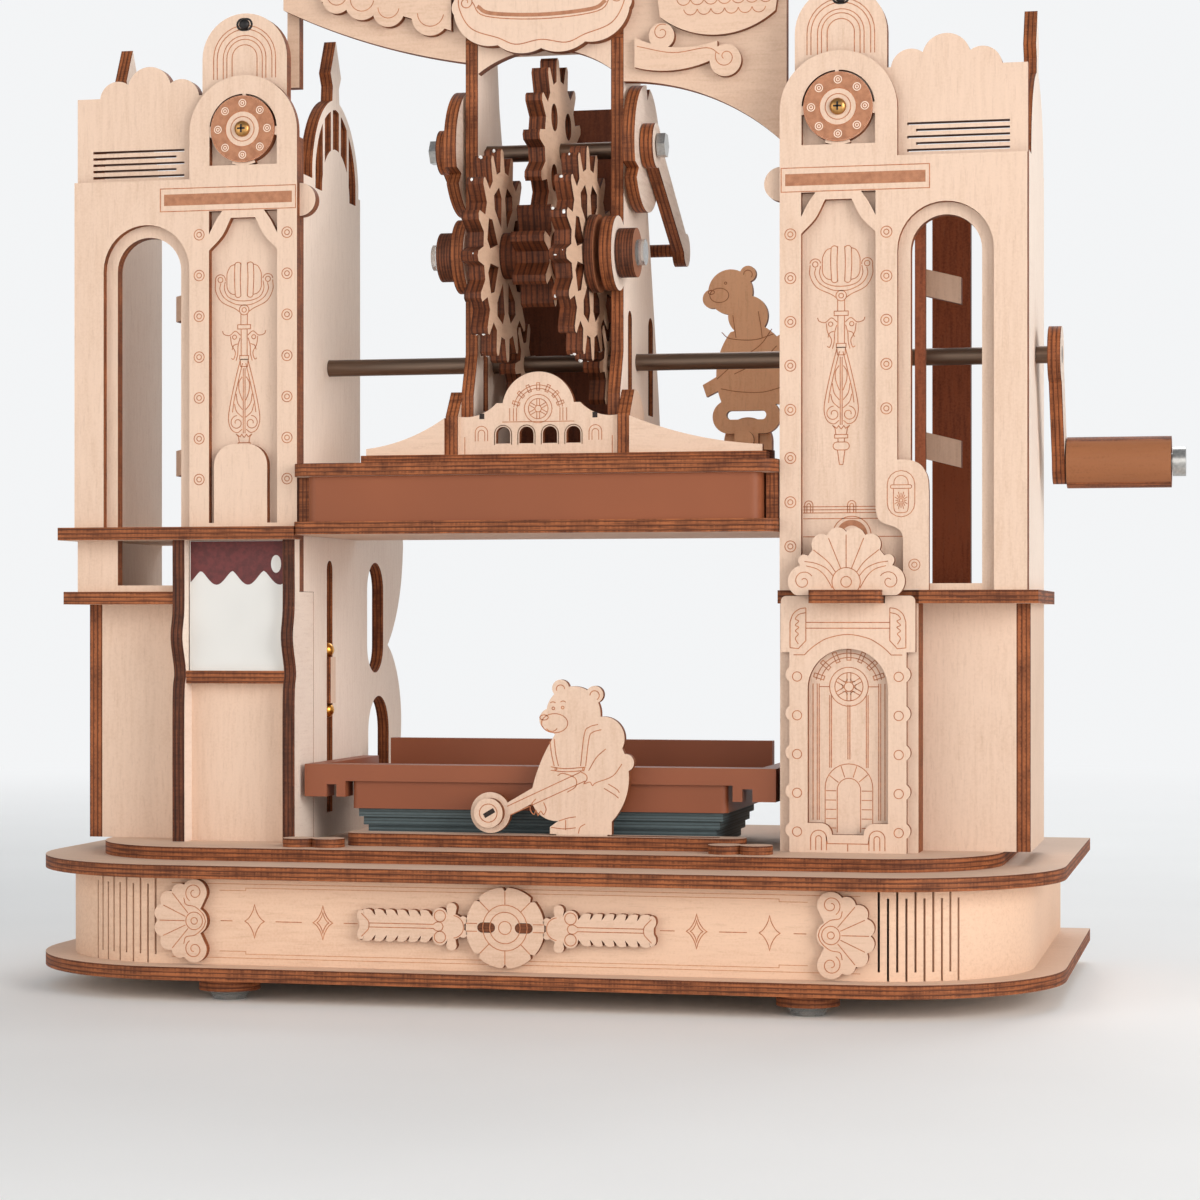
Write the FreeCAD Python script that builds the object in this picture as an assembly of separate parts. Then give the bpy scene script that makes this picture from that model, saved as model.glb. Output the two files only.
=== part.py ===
import FreeCAD, Part
import math
import os

V = FreeCAD.Vector

# The press stands on a table at Z = 0 with its front towards -Y. X = 0 is the middle of the press,
# and Y = 0 the front face of the base's fascia. All sizes are millimetres.

# Sheet stock, rod and clearances
BOARD = 3.0             # thick plywood
THIN = 2.0              # thin plywood of gears, figures and facings
ROD = 4.0               # diameter of every steel shaft
RUNNING = 0.05          # radial clearance of a shaft in its holes
GAP = 0.3               # clearance between a moving piece and what it passes

# Base
FOOT_R = 7.0            # wooden foot disc
FOOT_X = 66.8
FOOT_INSET = 12.0       # foot centre behind the edge of the bottom plate
BUMPER_R = 5.0          # clear dome under each foot disc
BUMPER_H = 2.2
FASCIA_H = 20.0
BASE_HALF = 114.0       # outer face of the fascia's sides
BASE_DEPTH = 118.0      # rear face of the back board
BEND_R = 35.0           # outer radius of the kerf-bent front corners
PLATE_LIP = 7.0         # how far bottom plate and moulding stand out past the fascia
DECK_INSET = 7.0        # how far the deck's edge lies behind the fascia
KERF_W = 0.5
KERF_PITCH = 2.0
KERFED_SHARE = 0.4      # share of the bend that is kerfed
KERF_MARGIN = 2.0       # uncut fascia at the closed end of a kerf

# Ornaments of the base and the track of the front bear
ROSETTE_R = 8.9
ROSETTE_LOBES = 8
MORTISE_X = 4.1         # the two tabs that hold the rosette
MORTISE_HALF = 1.8
MORTISE_H = 2.1
ARM_START = 11.4
ARM_END = 34.5          # tip of a leaf arm
ARM_HALF = 4.0          # half the width of a leaf arm at its root
ARM_TAPER = 0.25        # less width at each leaf
ARM_LEAVES = 6
PALM_X = 72.5           # hub of the palmette near each end of the straight front
PALM_REACH = 7.4
PETAL_R = 1.9
VOLUTE_R = 2.75         # the two volutes behind its petals
LOBE_Y = 15.2           # two-lobed plates on the deck
LOBE_R = 3.8
TRACK_LEFT = -44.0
TRACK_RIGHT = 50.0
TRACK_R = 3.75

# Pedestals and wings, given for the right side and mirrored to the left
WALL_X = 57.3           # inner face of the wing's inner wall
PEDESTAL_Y = 23.5       # front face of the door panel
PEDESTAL_H = 56.1       # deck to the underside of the ledge
PEDESTAL_W = 31.4
DOOR_W = 26.5
PEDESTAL_LAYERS = 4     # boards glued behind the door panel
RIVETS = 5              # bumps down each edge of the door panel
DOORWAY_HALF = 9.1      # recess in the door panel
DOORWAY_H = 45.9        # its crown above the deck
SILL_HALF = 3.6         # its narrow foot between the two corner blocks
SILL_H = 4.0
CORNER_H = 6.6          # top of the corner blocks
SHELF_Z = 64.5          # top of the shelf in the open left cabinet
CARD_T = 0.5
LEDGE_FRONT = 19.0
TAB_HALF = 7.8          # half the tab in the middle of the ledge
CREST_REACH = 10.2      # petals of the shell before the column
CREST_PETAL_R = 2.5
CREST_VOLUTE_R = 3.3
CREST_VOLUTE_X = 9.2    # volutes beside the shell's middle
FRAME_Y = 24.9          # front face of the column frame
COLUMN_W = 26.7
COLUMN_H = 121.8        # ledge to the top of the dial head
STRIP_W = 4.4           # side strips of the column frame
WING_OUT = 113.0        # outer face of the wing's outer wall
WING_BACK = 75.0        # rear edge of the wing's walls
WING_DROP = 14.8        # top of the wing's front board under the top of the dial head
WINDOW_R = 8.0
WINDOW_DROP = 45.5      # spring of the window's round top under the top of the dial head
TRIM_W = 2.6            # band of the front board that shows around the window
SEAM = 0.2              # between the column frame and the plate around the window
PLATE_DROP = 24.2       # top of that plate under the top of the dial head
DIAL_R = 7.9            # medallion in the column's head
KNOB_END = 3.9          # round end of the board beside the column
LOUVRES = 5
LOUVRE_PITCH = 1.5
LOUVRE_W = 0.6
HEAD_R = 10.5           # arched head behind the dial
HEAD_RISE = 14.9        # its top above the dial head

# Wing's inner wall: lift slot, gothic window and spire
SLOT_Y = 50.0           # centre line of the lift slot, under the main shaft
SLOT_W = 4.5
SLOT_FLOOR = 5.8        # lower end of the slot above the deck
SLOT_RISE = 7.7         # upper end of the slot above the ledge
GOTHIC_FRONT = 36.5
GOTHIC_REAR = 73.5
GOTHIC_DROP = 20.1      # spring of the gothic window under the top of the dial head
GOTHIC_RISE = 18.7      # spring to point
SPIRE_H = 14.3
LANCETS = 5

# Drive train: each shaft lies along X, and meshing wheels set their distance
MAIN_Y = 50.0
MAIN_RISE = 24.7        # main shaft above the platen
LEAN_FRONT = 40.3       # lean of the line from the main shaft to the gear axle, in degrees
LEAN_BACK = 28.3        # lean of the line from the gear axle to the crank axle
MODULE = 2.8125
BIG_TEETH = 16
SHAFT_TEETH = 6
MIDDLE_TEETH = 7
LOBED_TEETH = 14
TIP = 0.80              # tooth height above the pitch circle, as a share of the module
ROOT = 1.10             # depth below it
ROOT_SHARE = 0.28       # half a tooth's width as a share of the tooth pitch, at the root
TIP_SHARE = 0.12        # and under its peaked tip
CROWN = 0.6             # height of the peak
NUT_R = 3.0
PIN_BORE = 1.55         # hole for the thin pins of cranks, rods and the rear bear
GEAR_X = 8.2            # inner face of the two ornate gears
TOWER_X = 16.0          # inner face of the tower's side plates
WHEEL_R = 14.8          # crank wheels outside the tower plates
THROW = 5.0             # crank pin's distance from the crank axle
ROD_DY, ROD_DZ = 37.0, -20.0   # from the crank pin to the rods' rear end

# Tower, arch beams, sign and facade
TOWER_FRONT = 34.9      # front edge of the tower's plates, face of the beams
TOWER_HEAD = 24.7       # top of the plates above the crank axle
TOWER_BACK = 80.0       # rear edge of the plates at the platen
HEAD_BACK = 53.0        # rear edge at the top
LUG_R = 8.6
BRACE_H = 1.8           # the brace over the lobed gear, at its thinnest
BEAM_RISE = 18.0        # top of the beams above the plates
BEAM_LEFT = -64.0
SIGN_HALF = 21.0
FACADE_Y = 29.0
FACADE_HALF = 19.0
SWOOP_LEFT = -42.0
SWOOP_RIGHT = 54.0

# Platen housing
PLATEN_Z = 106.5        # underside of the lower platen frame
PLATEN_BLOCK_H = 10.5
PLATEN_Y = 19.3
PLATEN_BACK = 72.0
PLATEN_HALF = 57.1

# Bed and its travel
BED_Y = 27.0
BED_BACK = 74.0
BED_HALF = 56.1
BED_SHEETS = 4          # sheets stacked under the block
TRAY_RISE = 14.6        # underside of the tray's front bar above the deck
TRAY_BAR = 3.9
BLOCK_HALF = 44.75
BLOCK_H = 6.4
PIN_R = 1.7
FOLLOWER_LOW = 26.4     # lower end of the slot block above the slot's end, at rest
FOLLOWER_H = 11.2
FOLLOWER_PROUD = 0.9    # how far block and pins stand out of the wall's inner face

# Small moving figures
BEAR_Y = 22.0           # front face of the front bear
BEAR_TRAVEL = 24.0
BEAR_TAB = 6.0          # left end of the tab under the bear's feet
BEAR_TAB_L = 12.0
REAR_BEAR_Y = 86.5
REAR_PIVOT_X = 39.0
REAR_PIVOT_RISE = 8.0   # pivot above the platen

# Hand crank at the right end of the main shaft
CRANK_ARM = 28.0
CRANK_TURN = -60.0      # direction of the crank arm at rest, from +Y towards +Z
COLLAR_L = 3.0          # collar at the left end of the main shaft
KNOB_R = 6.0
KNOB_L = 24.0

# Levels worked out from the stack of boards
BOTTOM_Z = BUMPER_H + BOARD
FASCIA_Z = BOTTOM_Z + BOARD
MOULD_Z = FASCIA_Z + FASCIA_H
DECK_Z = MOULD_Z + BOARD
DECK_TOP = DECK_Z + BOARD
LEDGE_Z = DECK_TOP + PEDESTAL_H
LEDGE_TOP = LEDGE_Z + BOARD
TRAY_Z = DECK_TOP + TRAY_RISE
SLOT_LOW = DECK_TOP + SLOT_FLOOR
SLOT_TOP = LEDGE_TOP + SLOT_RISE
PIN_LOW = SLOT_LOW + FOLLOWER_LOW
PIN_HIGH = PIN_LOW + FOLLOWER_H
PLATEN_TOP = PLATEN_Z + BOARD + PLATEN_BLOCK_H + BOARD
REAR_PIVOT_Z = PLATEN_TOP + REAR_PIVOT_RISE
BACKING_Y = FRAME_Y + THIN          # front face of the wing's front board
WALL_Y = BACKING_Y + BOARD          # front edge of the upper wing walls
SIGN_Y = TOWER_FRONT - BOARD
PEDESTAL_BACK = PEDESTAL_Y + THIN + PEDESTAL_LAYERS * BOARD
FRAME_TOP = LEDGE_TOP + COLUMN_H
HEAD_TOP = FRAME_TOP + HEAD_RISE
WINDOW_SPRING = FRAME_TOP - WINDOW_DROP
GOTHIC_SPRING = FRAME_TOP - GOTHIC_DROP
GOTHIC_TOP = GOTHIC_SPRING + GOTHIC_RISE
SPIRE_TOP = GOTHIC_TOP + SPIRE_H
COLUMN_X = WALL_X + COLUMN_W / 2.0
PEDESTAL_X = WALL_X + PEDESTAL_W / 2.0
WINDOW_X = WALL_X + COLUMN_W + SEAM + TRIM_W + WINDOW_R
GROOVE_Y = BEAR_Y + THIN / 2.0
GROOVE_R = THIN / 2.0 + GAP
GROOVE_LEFT = BEAR_TAB - 2.0
GROOVE_RIGHT = BEAR_TAB + BEAR_TAB_L + BEAR_TRAVEL + 2.0
BORE_R = ROD / 2.0 + RUNNING
FRONT_REACH = MODULE * (BIG_TEETH + SHAFT_TEETH) / 2.0
BACK_REACH = MODULE * (LOBED_TEETH + MIDDLE_TEETH) / 2.0
MAIN_Z = PLATEN_TOP + MAIN_RISE
GEAR_Y = MAIN_Y - FRONT_REACH * math.sin(math.radians(LEAN_FRONT))
GEAR_Z = MAIN_Z + FRONT_REACH * math.cos(math.radians(LEAN_FRONT))
CRANK_Y = GEAR_Y + BACK_REACH * math.sin(math.radians(LEAN_BACK))
CRANK_Z = GEAR_Z + BACK_REACH * math.cos(math.radians(LEAN_BACK))
TOWER_TOP = CRANK_Z + TOWER_HEAD
BEAM_TOP = TOWER_TOP + BEAM_RISE
CRANK_END = WING_OUT + 2 * BOARD + GAP + KNOB_L + GAP + BOARD


# Outlines and sheets
def outline(*steps):
    """Face inside a closed outline. A step of two numbers ends a line, one of four an arc through
    its first pair to its second."""
    edges = []
    here = V(steps[0][0], steps[0][1], 0)
    start = here
    for step in steps[1:]:
        end = V(step[-2], step[-1], 0)
        if len(step) == 4:
            edges.append(Part.Arc(here, V(step[0], step[1], 0), end).toShape())
        else:
            edges.append(Part.makeLine(here, end))
        here = end
    if here.distanceToPoint(start) > 1e-6:
        edges.append(Part.makeLine(here, start))
    return Part.Face(Part.Wire(edges))


def disc(u, v, radius):
    """Round face about (u, v)."""
    return Part.Face(Part.Wire(Part.makeCircle(radius, V(u, v, 0))))


def slab(u0, u1, v0, v1):
    """Rectangular face."""
    return outline((u0, v0), (u1, v0), (u1, v1), (u0, v1))


def round_top(u, half, v0, spring):
    """Face with straight sides from v0 to spring and a half-round top."""
    return outline((u - half, v0), (u + half, v0), (u + half, spring),
                   (u, spring + half, u - half, spring))


def capsule(u0, u1, v, radius):
    """Face of a bar with two round ends, from u0 to u1 over all."""
    return outline((u0 + radius, v - radius), (u1 - radius, v - radius),
                   (u1, v, u1 - radius, v + radius), (u0 + radius, v + radius),
                   (u0, v, u0 + radius, v - radius))


def rounded(u0, u1, v0, v1, r):
    """Rectangular face with the two corners at v0 rounded."""
    k = r * (1 - math.sqrt(0.5))
    return outline((u0 + r, v0), (u1 - r, v0), (u1 - k, v0 + k, u1, v0 + r),
                   (u1, v1), (u0, v1), (u0, v0 + r), (u0 + k, v0 + k, u0 + r, v0))


def joined(faces):
    """One face from several that overlap: they are fused as sheets, and the underside is kept."""
    sheets = [face.extrude(V(0, 0, 1)) for face in faces]
    whole = sheets[0].multiFuse(sheets[1:]).removeSplitter()
    return [face for face in whole.Faces if face.BoundBox.ZMax < 0.5][0]


def fan(u, v, reach, lobe_r, lobes, start, end):
    """Palmette face: a hub at (u, v) and round lobes at the given reach between two angles."""
    parts = [disc(u, v, lobe_r * 1.3)]
    for i in range(lobes):
        angle = math.radians(start + (end - start) * i / (lobes - 1))
        tip_u = u + reach * math.cos(angle)
        tip_v = v + reach * math.sin(angle)
        across_u = -lobe_r * math.sin(angle)
        across_v = lobe_r * math.cos(angle)
        parts.append(disc(tip_u, tip_v, lobe_r))
        parts.append(outline((u, v), (tip_u + across_u, tip_v + across_v),
                             (tip_u - across_u, tip_v - across_v)))
    return joined(parts)


def flat(face, z, thick):
    """Sheet lying flat: the outline's axes are X and Y."""
    sheet = face.Faces[0].extrude(V(0, 0, thick))
    sheet.translate(V(0, 0, z))
    return sheet


def front(face, y, thick):
    """Sheet facing the front: the outline's axes are X and Z."""
    sheet = face.Faces[0].extrude(V(0, 0, thick))
    sheet.rotate(V(0, 0, 0), V(1, 0, 0), 90)
    sheet.translate(V(0, y + thick, 0))
    return sheet


def side(face, x, thick):
    """Sheet facing sideways: the outline's axes are Y and Z."""
    sheet = face.Faces[0].extrude(V(0, 0, thick))
    sheet.rotate(V(0, 0, 0), V(1, 1, 1), 120)
    sheet.translate(V(x, 0, 0))
    return sheet


def block(x0, x1, y0, y1, z0, z1):
    """Plain rectangular solid between two corners."""
    return Part.makeBox(x1 - x0, y1 - y0, z1 - z0, V(x0, y0, z0))


def shaft(x0, x1, y, z, radius):
    """Round bar along X."""
    return Part.makeCylinder(radius, x1 - x0, V(x0, y, z), V(1, 0, 0))


def pin_y(x, y0, y1, z, radius):
    """Round bar along Y."""
    return Part.makeCylinder(radius, y1 - y0, V(x, y0, z), V(0, 1, 0))


def mirror(shape):
    """The same piece on the other side of the press."""
    return shape.mirror(V(0, 0, 0), V(1, 0, 0))


SHIFT = V(-(CRANK_END - BASE_HALF - PLATE_LIP) / 2.0, -BASE_DEPTH / 2.0, 0)


def save(node, *solids):
    """Write one piece, or several alike, placed about the middle of the footprint."""
    shape = solids[0] if len(solids) == 1 else Part.makeCompound(list(solids))
    shape = shape.copy()
    shape.translate(SHIFT)
    shape.exportStep("parts/" + node + ".step")


def both(solids):
    """Pieces of the right side followed by their mirror images."""
    return solids + [mirror(solid) for solid in solids]


# Base: feet, bottom plate, kerf-bent fascia, moulding and deck
def base_plan(grow):
    """Plan outline of the base, moved out by grow: round front corners, square rear ones."""
    half = BASE_HALF + grow
    r = BEND_R + grow
    straight = BASE_HALF - BEND_R
    k = r * math.sqrt(0.5)
    back = BASE_DEPTH + grow
    return outline((straight, -grow), (straight + k, BEND_R - k, half, BEND_R), (half, back),
                   (-half, back), (-half, BEND_R), (-straight - k, BEND_R - k, -straight, -grow))


def foot_places():
    """Centres of the four feet."""
    near = FOOT_INSET - PLATE_LIP
    far = BASE_DEPTH + PLATE_LIP - FOOT_INSET
    return [(sign * FOOT_X, y) for sign in (-1, 1) for y in (near, far)]


def make_feet():
    """Four wooden discs, and under each a clear bumper with a flat crown."""
    profile = outline((0, 0), (BUMPER_R - 1.4, 0), (BUMPER_R, BUMPER_H), (0, BUMPER_H))
    discs = []
    domes = []
    for x, y in foot_places():
        discs.append(flat(disc(x, y, FOOT_R), BUMPER_H, BOARD))
        dome = profile.copy()
        dome.rotate(V(0, 0, 0), V(1, 0, 0), 90)
        dome = dome.revolve(V(0, 0, 0), V(0, 0, 1), 360)
        dome.translate(V(x, y, 0))
        domes.append(dome)
    save("foot_discs", *discs)
    save("clear_bumpers", *domes)


def make_fascia():
    """Sheet bent round the front corners by kerfs that enter by turns from its upper and lower edge."""
    hollow = base_plan(-BOARD).fuse(slab(-BASE_HALF + BOARD, BASE_HALF - BOARD,
                                         BASE_DEPTH / 2.0, BASE_DEPTH + BOARD))
    sheet = flat(base_plan(0).cut(hollow), FASCIA_Z, FASCIA_H)
    straight = BASE_HALF - BEND_R
    arc = BEND_R * math.pi / 2.0
    count = int(KERFED_SHARE * arc / KERF_PITCH)
    kerfs = []
    for i in range(count):
        angle = math.degrees((i + 2) * KERF_PITCH / BEND_R)
        low = FASCIA_Z - 1.0 if i % 2 else FASCIA_Z + KERF_MARGIN
        kerf = block(-KERF_W / 2.0, KERF_W / 2.0, -BEND_R - BOARD, -BEND_R + 2 * BOARD,
                     low, low + FASCIA_H - KERF_MARGIN + 1.0)
        kerf.rotate(V(0, 0, 0), V(0, 0, 1), angle)
        kerf.translate(V(straight, BEND_R, 0))
        kerfs.append(kerf)
        kerfs.append(mirror(kerf))
    inside = BASE_HALF - BOARD
    back = block(-inside, inside, BASE_DEPTH - BOARD, BASE_DEPTH, FASCIA_Z, MOULD_Z)
    save("fascia", sheet.cut(Part.makeCompound(kerfs)), back)


def make_base():
    """Plates of the base, from the bottom up."""
    save("bottom_plate", flat(base_plan(PLATE_LIP), BOTTOM_Z, BOARD))
    make_fascia()
    save("moulding_plate", flat(base_plan(PLATE_LIP), MOULD_Z, BOARD))
    groove = capsule(GROOVE_LEFT, GROOVE_RIGHT, GROOVE_Y, GROOVE_R)
    save("deck_plate", flat(base_plan(-DECK_INSET).cut(groove), DECK_Z, BOARD))
    strip = capsule(TRACK_LEFT, TRACK_RIGHT, GROOVE_Y, TRACK_R)
    save("bear_track", flat(strip.cut(groove), DECK_TOP, BOARD))


def make_fascia_ornaments():
    """Rosette with two serrated leaf arms, and a palmette at each end of the straight front."""
    z = FASCIA_Z + FASCIA_H / 2.0
    step = (ARM_END - ARM_START) / ARM_LEAVES
    upper = [(ARM_START, z), (ARM_START, z + ARM_HALF)]
    for i in range(ARM_LEAVES):
        x = ARM_START + i * step
        wide = z + ARM_HALF - ARM_TAPER * i
        upper.append((x + 0.35 * step, wide))
        upper.append((x + 0.95 * step, wide - 0.6))
        upper.append((x + 0.80 * step, wide - 1.6))
    half = outline(*(upper + [(ARM_END, z)]))
    arm = joined([half, half.mirror(V(0, z, 0), V(0, 1, 0)), disc(ARM_START, z + ARM_HALF - 1.0, 1.8),
                  disc(ARM_START, z - ARM_HALF + 1.0, 1.8)])
    leaves = both([front(arm.cut(disc(0, z, ROSETTE_R)), -THIN, THIN)])
    lobed = disc(0, z, ROSETTE_R)
    for i in range(ROSETTE_LOBES):
        nick = outline((ROSETTE_R + 1.0, -0.9), (ROSETTE_R + 1.0, 0.9), (ROSETTE_R - 1.1, 0))
        nick.rotate(V(0, 0, 0), V(0, 0, 1), 360.0 * (i + 0.5) / ROSETTE_LOBES)
        nick.translate(V(0, z, 0))
        lobed = lobed.cut(nick)
    for sign in (-1, 1):
        lobed = lobed.cut(slab(sign * MORTISE_X - MORTISE_HALF, sign * MORTISE_X + MORTISE_HALF,
                               z - MORTISE_H / 2.0, z + MORTISE_H / 2.0))
    rosette = front(lobed, -THIN, THIN)
    palm = [fan(PALM_X, z, PALM_REACH, PETAL_R, 6, -62, 62)]
    for sign in (-1, 1):
        palm.append(disc(PALM_X, z + sign * (PALM_REACH - 0.7), VOLUTE_R))
    save("fascia_ornaments", rosette, *(leaves + both([front(joined(palm), -THIN, THIN)])))


def make_deck_lobes():
    """Two-lobed plates on the deck, one at each end of the bear's track."""
    plates = []
    for sign in (-1, 1):
        lobes = [disc(sign * (TRACK_RIGHT + side_x), LOBE_Y, LOBE_R) for side_x in (-3.5, 3.5)]
        plates.append(flat(joined(lobes), DECK_TOP, THIN))
    save("deck_lobes", *plates)


# Pedestals under the columns
def make_pedestal():
    """Right pedestal: scalloped door panel with an arched recess over four glued boards."""
    x = PEDESTAL_X
    half = DOOR_W / 2.0
    top = LEDGE_Z
    shoulder = top - 14.0
    panel = [slab(x - half, x + half, DECK_TOP, shoulder),
             slab(x - half - 2.0, x + half + 2.0, shoulder + 3.0, top),
             slab(x - half, x + half, shoulder, shoulder + 3.0)]
    for i in range(RIVETS):
        z = DECK_TOP + 5.0 + i * (shoulder - DECK_TOP - 7.0) / (RIVETS - 1)
        panel.append(disc(x - half + 1.0, z, 1.9))
        panel.append(disc(x + half - 1.0, z, 1.9))
    sill = DECK_TOP + SILL_H
    corner = DECK_TOP + CORNER_H
    spring = DECK_TOP + DOORWAY_H - DOORWAY_HALF
    wide = DOORWAY_HALF
    near = SILL_HALF
    recess = outline((x - near, sill), (x + near, sill),
                     (x + near + 0.7, corner - 0.8, x + near + 2.4, corner),
                     (x + wide, corner), (x + wide, spring),
                     (x, spring + wide, x - wide, spring), (x - wide, corner), (x - near - 2.4, corner),
                     (x - near - 0.7, corner - 0.8, x - near, sill))
    save("pedestal_door", front(joined(panel).cut(recess), PEDESTAL_Y, THIN))
    leaf = slab(WALL_X, WALL_X + PEDESTAL_W, DECK_TOP, LEDGE_Z)
    layers = [front(leaf, PEDESTAL_Y + THIN + i * BOARD, BOARD) for i in range(PEDESTAL_LAYERS)]
    save("pedestal_boards", *layers)


def make_ledge():
    """Shelf on top of the pedestal that carries the upper wing, notched round the inner wall."""
    outer = WING_OUT + 2.5
    inner = WALL_X - 0.6
    plan = outline((inner, LEDGE_FRONT + 2.0), (inner + 0.6, LEDGE_FRONT + 0.6, inner + 2.0, LEDGE_FRONT),
                   (PEDESTAL_X - TAB_HALF, LEDGE_FRONT), (PEDESTAL_X - TAB_HALF, LEDGE_FRONT - 1.8),
                   (PEDESTAL_X + TAB_HALF, LEDGE_FRONT - 1.8), (PEDESTAL_X + TAB_HALF, LEDGE_FRONT),
                   (outer - 3.0, LEDGE_FRONT), (outer, LEDGE_FRONT + 3.0), (outer, WING_BACK),
                   (WALL_X + BOARD, WING_BACK), (WALL_X + BOARD, PEDESTAL_BACK),
                   (inner, PEDESTAL_BACK))
    save("ledges", *both([flat(plan, LEDGE_Z, BOARD)]))


def make_shell_crest():
    """Shell of four broad and two narrow petals between two volutes, on the ledge before the column."""
    x = PEDESTAL_X
    z = LEDGE_TOP + CREST_VOLUTE_R
    pieces = [fan(x, z, CREST_REACH, CREST_PETAL_R, 4, 50, 130), fan(x, z, CREST_REACH, 1.7, 2, 24, 156)]
    for sign in (-1, 1):
        pieces.append(disc(x + sign * CREST_VOLUTE_X, z, CREST_VOLUTE_R))
    pieces.append(slab(x - CREST_VOLUTE_X, x + CREST_VOLUTE_X, LEDGE_TOP, z))
    save("shell_crests", *both([front(joined(pieces), FRAME_Y - 2 * THIN, THIN)]))


def make_cabinet():
    """Left pedestal: an open cupboard with wavy side boards, a shelf and a paper card on it."""
    x_in = WALL_X
    x_out = WALL_X + PEDESTAL_W
    y = PEDESTAL_Y
    mid = (SHELF_Z + LEDGE_Z) / 2.0
    wavy = outline((y, DECK_TOP), (PEDESTAL_BACK, DECK_TOP), (PEDESTAL_BACK, LEDGE_Z), (y, LEDGE_Z),
                   (y, mid + 7.0), (y + 1.4, mid, y, mid - 7.0))
    boards = [mirror(side(wavy, x_in, BOARD)), mirror(side(wavy, x_out - BOARD, BOARD))]
    left = -x_out + BOARD
    right = -x_in - BOARD
    boards.append(block(left, right, PEDESTAL_BACK - BOARD, PEDESTAL_BACK, DECK_TOP, LEDGE_Z))
    boards.append(block(left, right, y + 1.5, PEDESTAL_BACK - BOARD, SHELF_Z - BOARD, SHELF_Z))
    boards.append(block(left, right, y + 5.0, y + 5.0 + BOARD, DECK_TOP, SHELF_Z - BOARD))
    save("cabinet_boards", *boards)
    card_y = PEDESTAL_BACK - BOARD - 2.0
    save("paper_card", block(left + 1.0, right - 1.0, card_y, card_y + CARD_T, SHELF_Z, LEDGE_Z - 1.0))


# Upper wings: front board, column frame, dial, window band, walls
def make_wing_front():
    """Board behind the column frame, with the window, slots of the louvre, knob and arched head."""
    knob_z = FRAME_TOP - 29.5
    dial_x = COLUMN_X + 0.3
    body = slab(WALL_X, WING_OUT, LEDGE_TOP, FRAME_TOP - WING_DROP)
    knob = disc(WALL_X, knob_z, KNOB_END)
    head = round_top(dial_x, HEAD_R, FRAME_TOP - WING_DROP - 5.0, HEAD_TOP - HEAD_R)
    crest = [slab(dial_x, WING_OUT, FRAME_TOP - 20.0, FRAME_TOP - 4.0)]
    for i, (rise, r) in enumerate(((1.0, 4.5), (3.2, 5.5), (1.0, 4.5))):
        crest.append(disc(WINDOW_X + (i - 1) * 8.0, FRAME_TOP - 5.5 + rise, r))
    board = joined([body, knob, head] + crest)
    window = round_top(WINDOW_X, WINDOW_R, LEDGE_TOP + 1.5, WINDOW_SPRING)
    board = board.cut(window)
    for i in range(LOUVRES):
        z = FRAME_TOP - PLATE_DROP + 1.0 + i * LOUVRE_PITCH
        inset = 2.0 * (i % 2)
        board = board.cut(slab(WALL_X + COLUMN_W + 2.0 + inset, WING_OUT - 4.0, z, z + LOUVRE_W))
    save("wing_fronts", *both([front(board, BACKING_Y, BOARD)]))


def make_column_frame():
    """Front frame of a column: side strips, shouldered opening with two spandrel holes, dial head."""
    x = COLUMN_X
    half = COLUMN_W / 2.0
    top_r = half
    body = round_top(x, half, LEDGE_TOP, FRAME_TOP - top_r)
    inner = half - STRIP_W
    top = FRAME_TOP - 33.6
    shoulder = top - 7.6
    sill = LEDGE_TOP + 4.0
    opening = outline((x - inner, sill), (x + inner, sill), (x + inner, shoulder),
                      (x + 5.2, shoulder + 3.4, x + 3.0, top), (x - 3.0, top),
                      (x - 5.2, shoulder + 3.4, x - inner, shoulder))
    body = body.cut(opening)
    brow = top + 1.6
    for sign in (-1, 1):
        hole = outline((x + sign * inner, brow), (x + sign * (inner - 3.4), brow),
                       (x + sign * (inner - 1.0), brow - 2.6, x + sign * inner, brow - 5.4))
        body = body.cut(hole)
    dial_z = FRAME_TOP - 12.8
    r = DIAL_R + GAP
    body = body.cut(joined([disc(x, dial_z, r), slab(x - r, x + r, dial_z - 8.4, dial_z)]))
    save("column_frames", *both([front(body, FRAME_Y, THIN)]))
    save("dial_medallions", *both([pin_y(x, FRAME_Y - 0.4, BACKING_Y, dial_z, DIAL_R)]))


def make_window_band():
    """Plate beside the column frame, with an arch cut wider than the window behind it."""
    plate = slab(WALL_X + COLUMN_W + SEAM, WING_OUT, LEDGE_TOP, FRAME_TOP - PLATE_DROP)
    arch = round_top(WINDOW_X, WINDOW_R + TRIM_W + SEAM, LEDGE_TOP - 1.0, WINDOW_SPRING)
    save("window_bands", *both([front(plate.cut(arch), FRAME_Y, THIN)]))


def make_lantern_plates():
    """Small round-topped plate, one on each column's outer strip, that carries a lantern drawing."""
    x = WALL_X + COLUMN_W + 1.8
    shape = joined([round_top(x, 4.8, LEDGE_TOP, LEDGE_TOP + 24.4), disc(x - 3.0, LEDGE_TOP + 20.0, 4.0)])
    save("lantern_plates", *both([front(shape, FRAME_Y - THIN, THIN)]))


def gothic(inset, floor):
    """Pointed arch over the wing wall, drawn in by inset and closed at floor."""
    mid = (GOTHIC_REAR + GOTHIC_FRONT) / 2.0
    half = (GOTHIC_REAR - GOTHIC_FRONT) / 2.0 - inset
    top = GOTHIC_TOP - inset
    rise = top - GOTHIC_SPRING
    return outline((mid + half, floor), (mid + half, GOTHIC_SPRING),
                   (mid + half * 0.72, GOTHIC_SPRING + rise * 0.62, mid, top),
                   (mid - half * 0.72, GOTHIC_SPRING + rise * 0.62, mid - half, GOTHIC_SPRING),
                   (mid - half, floor))


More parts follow.
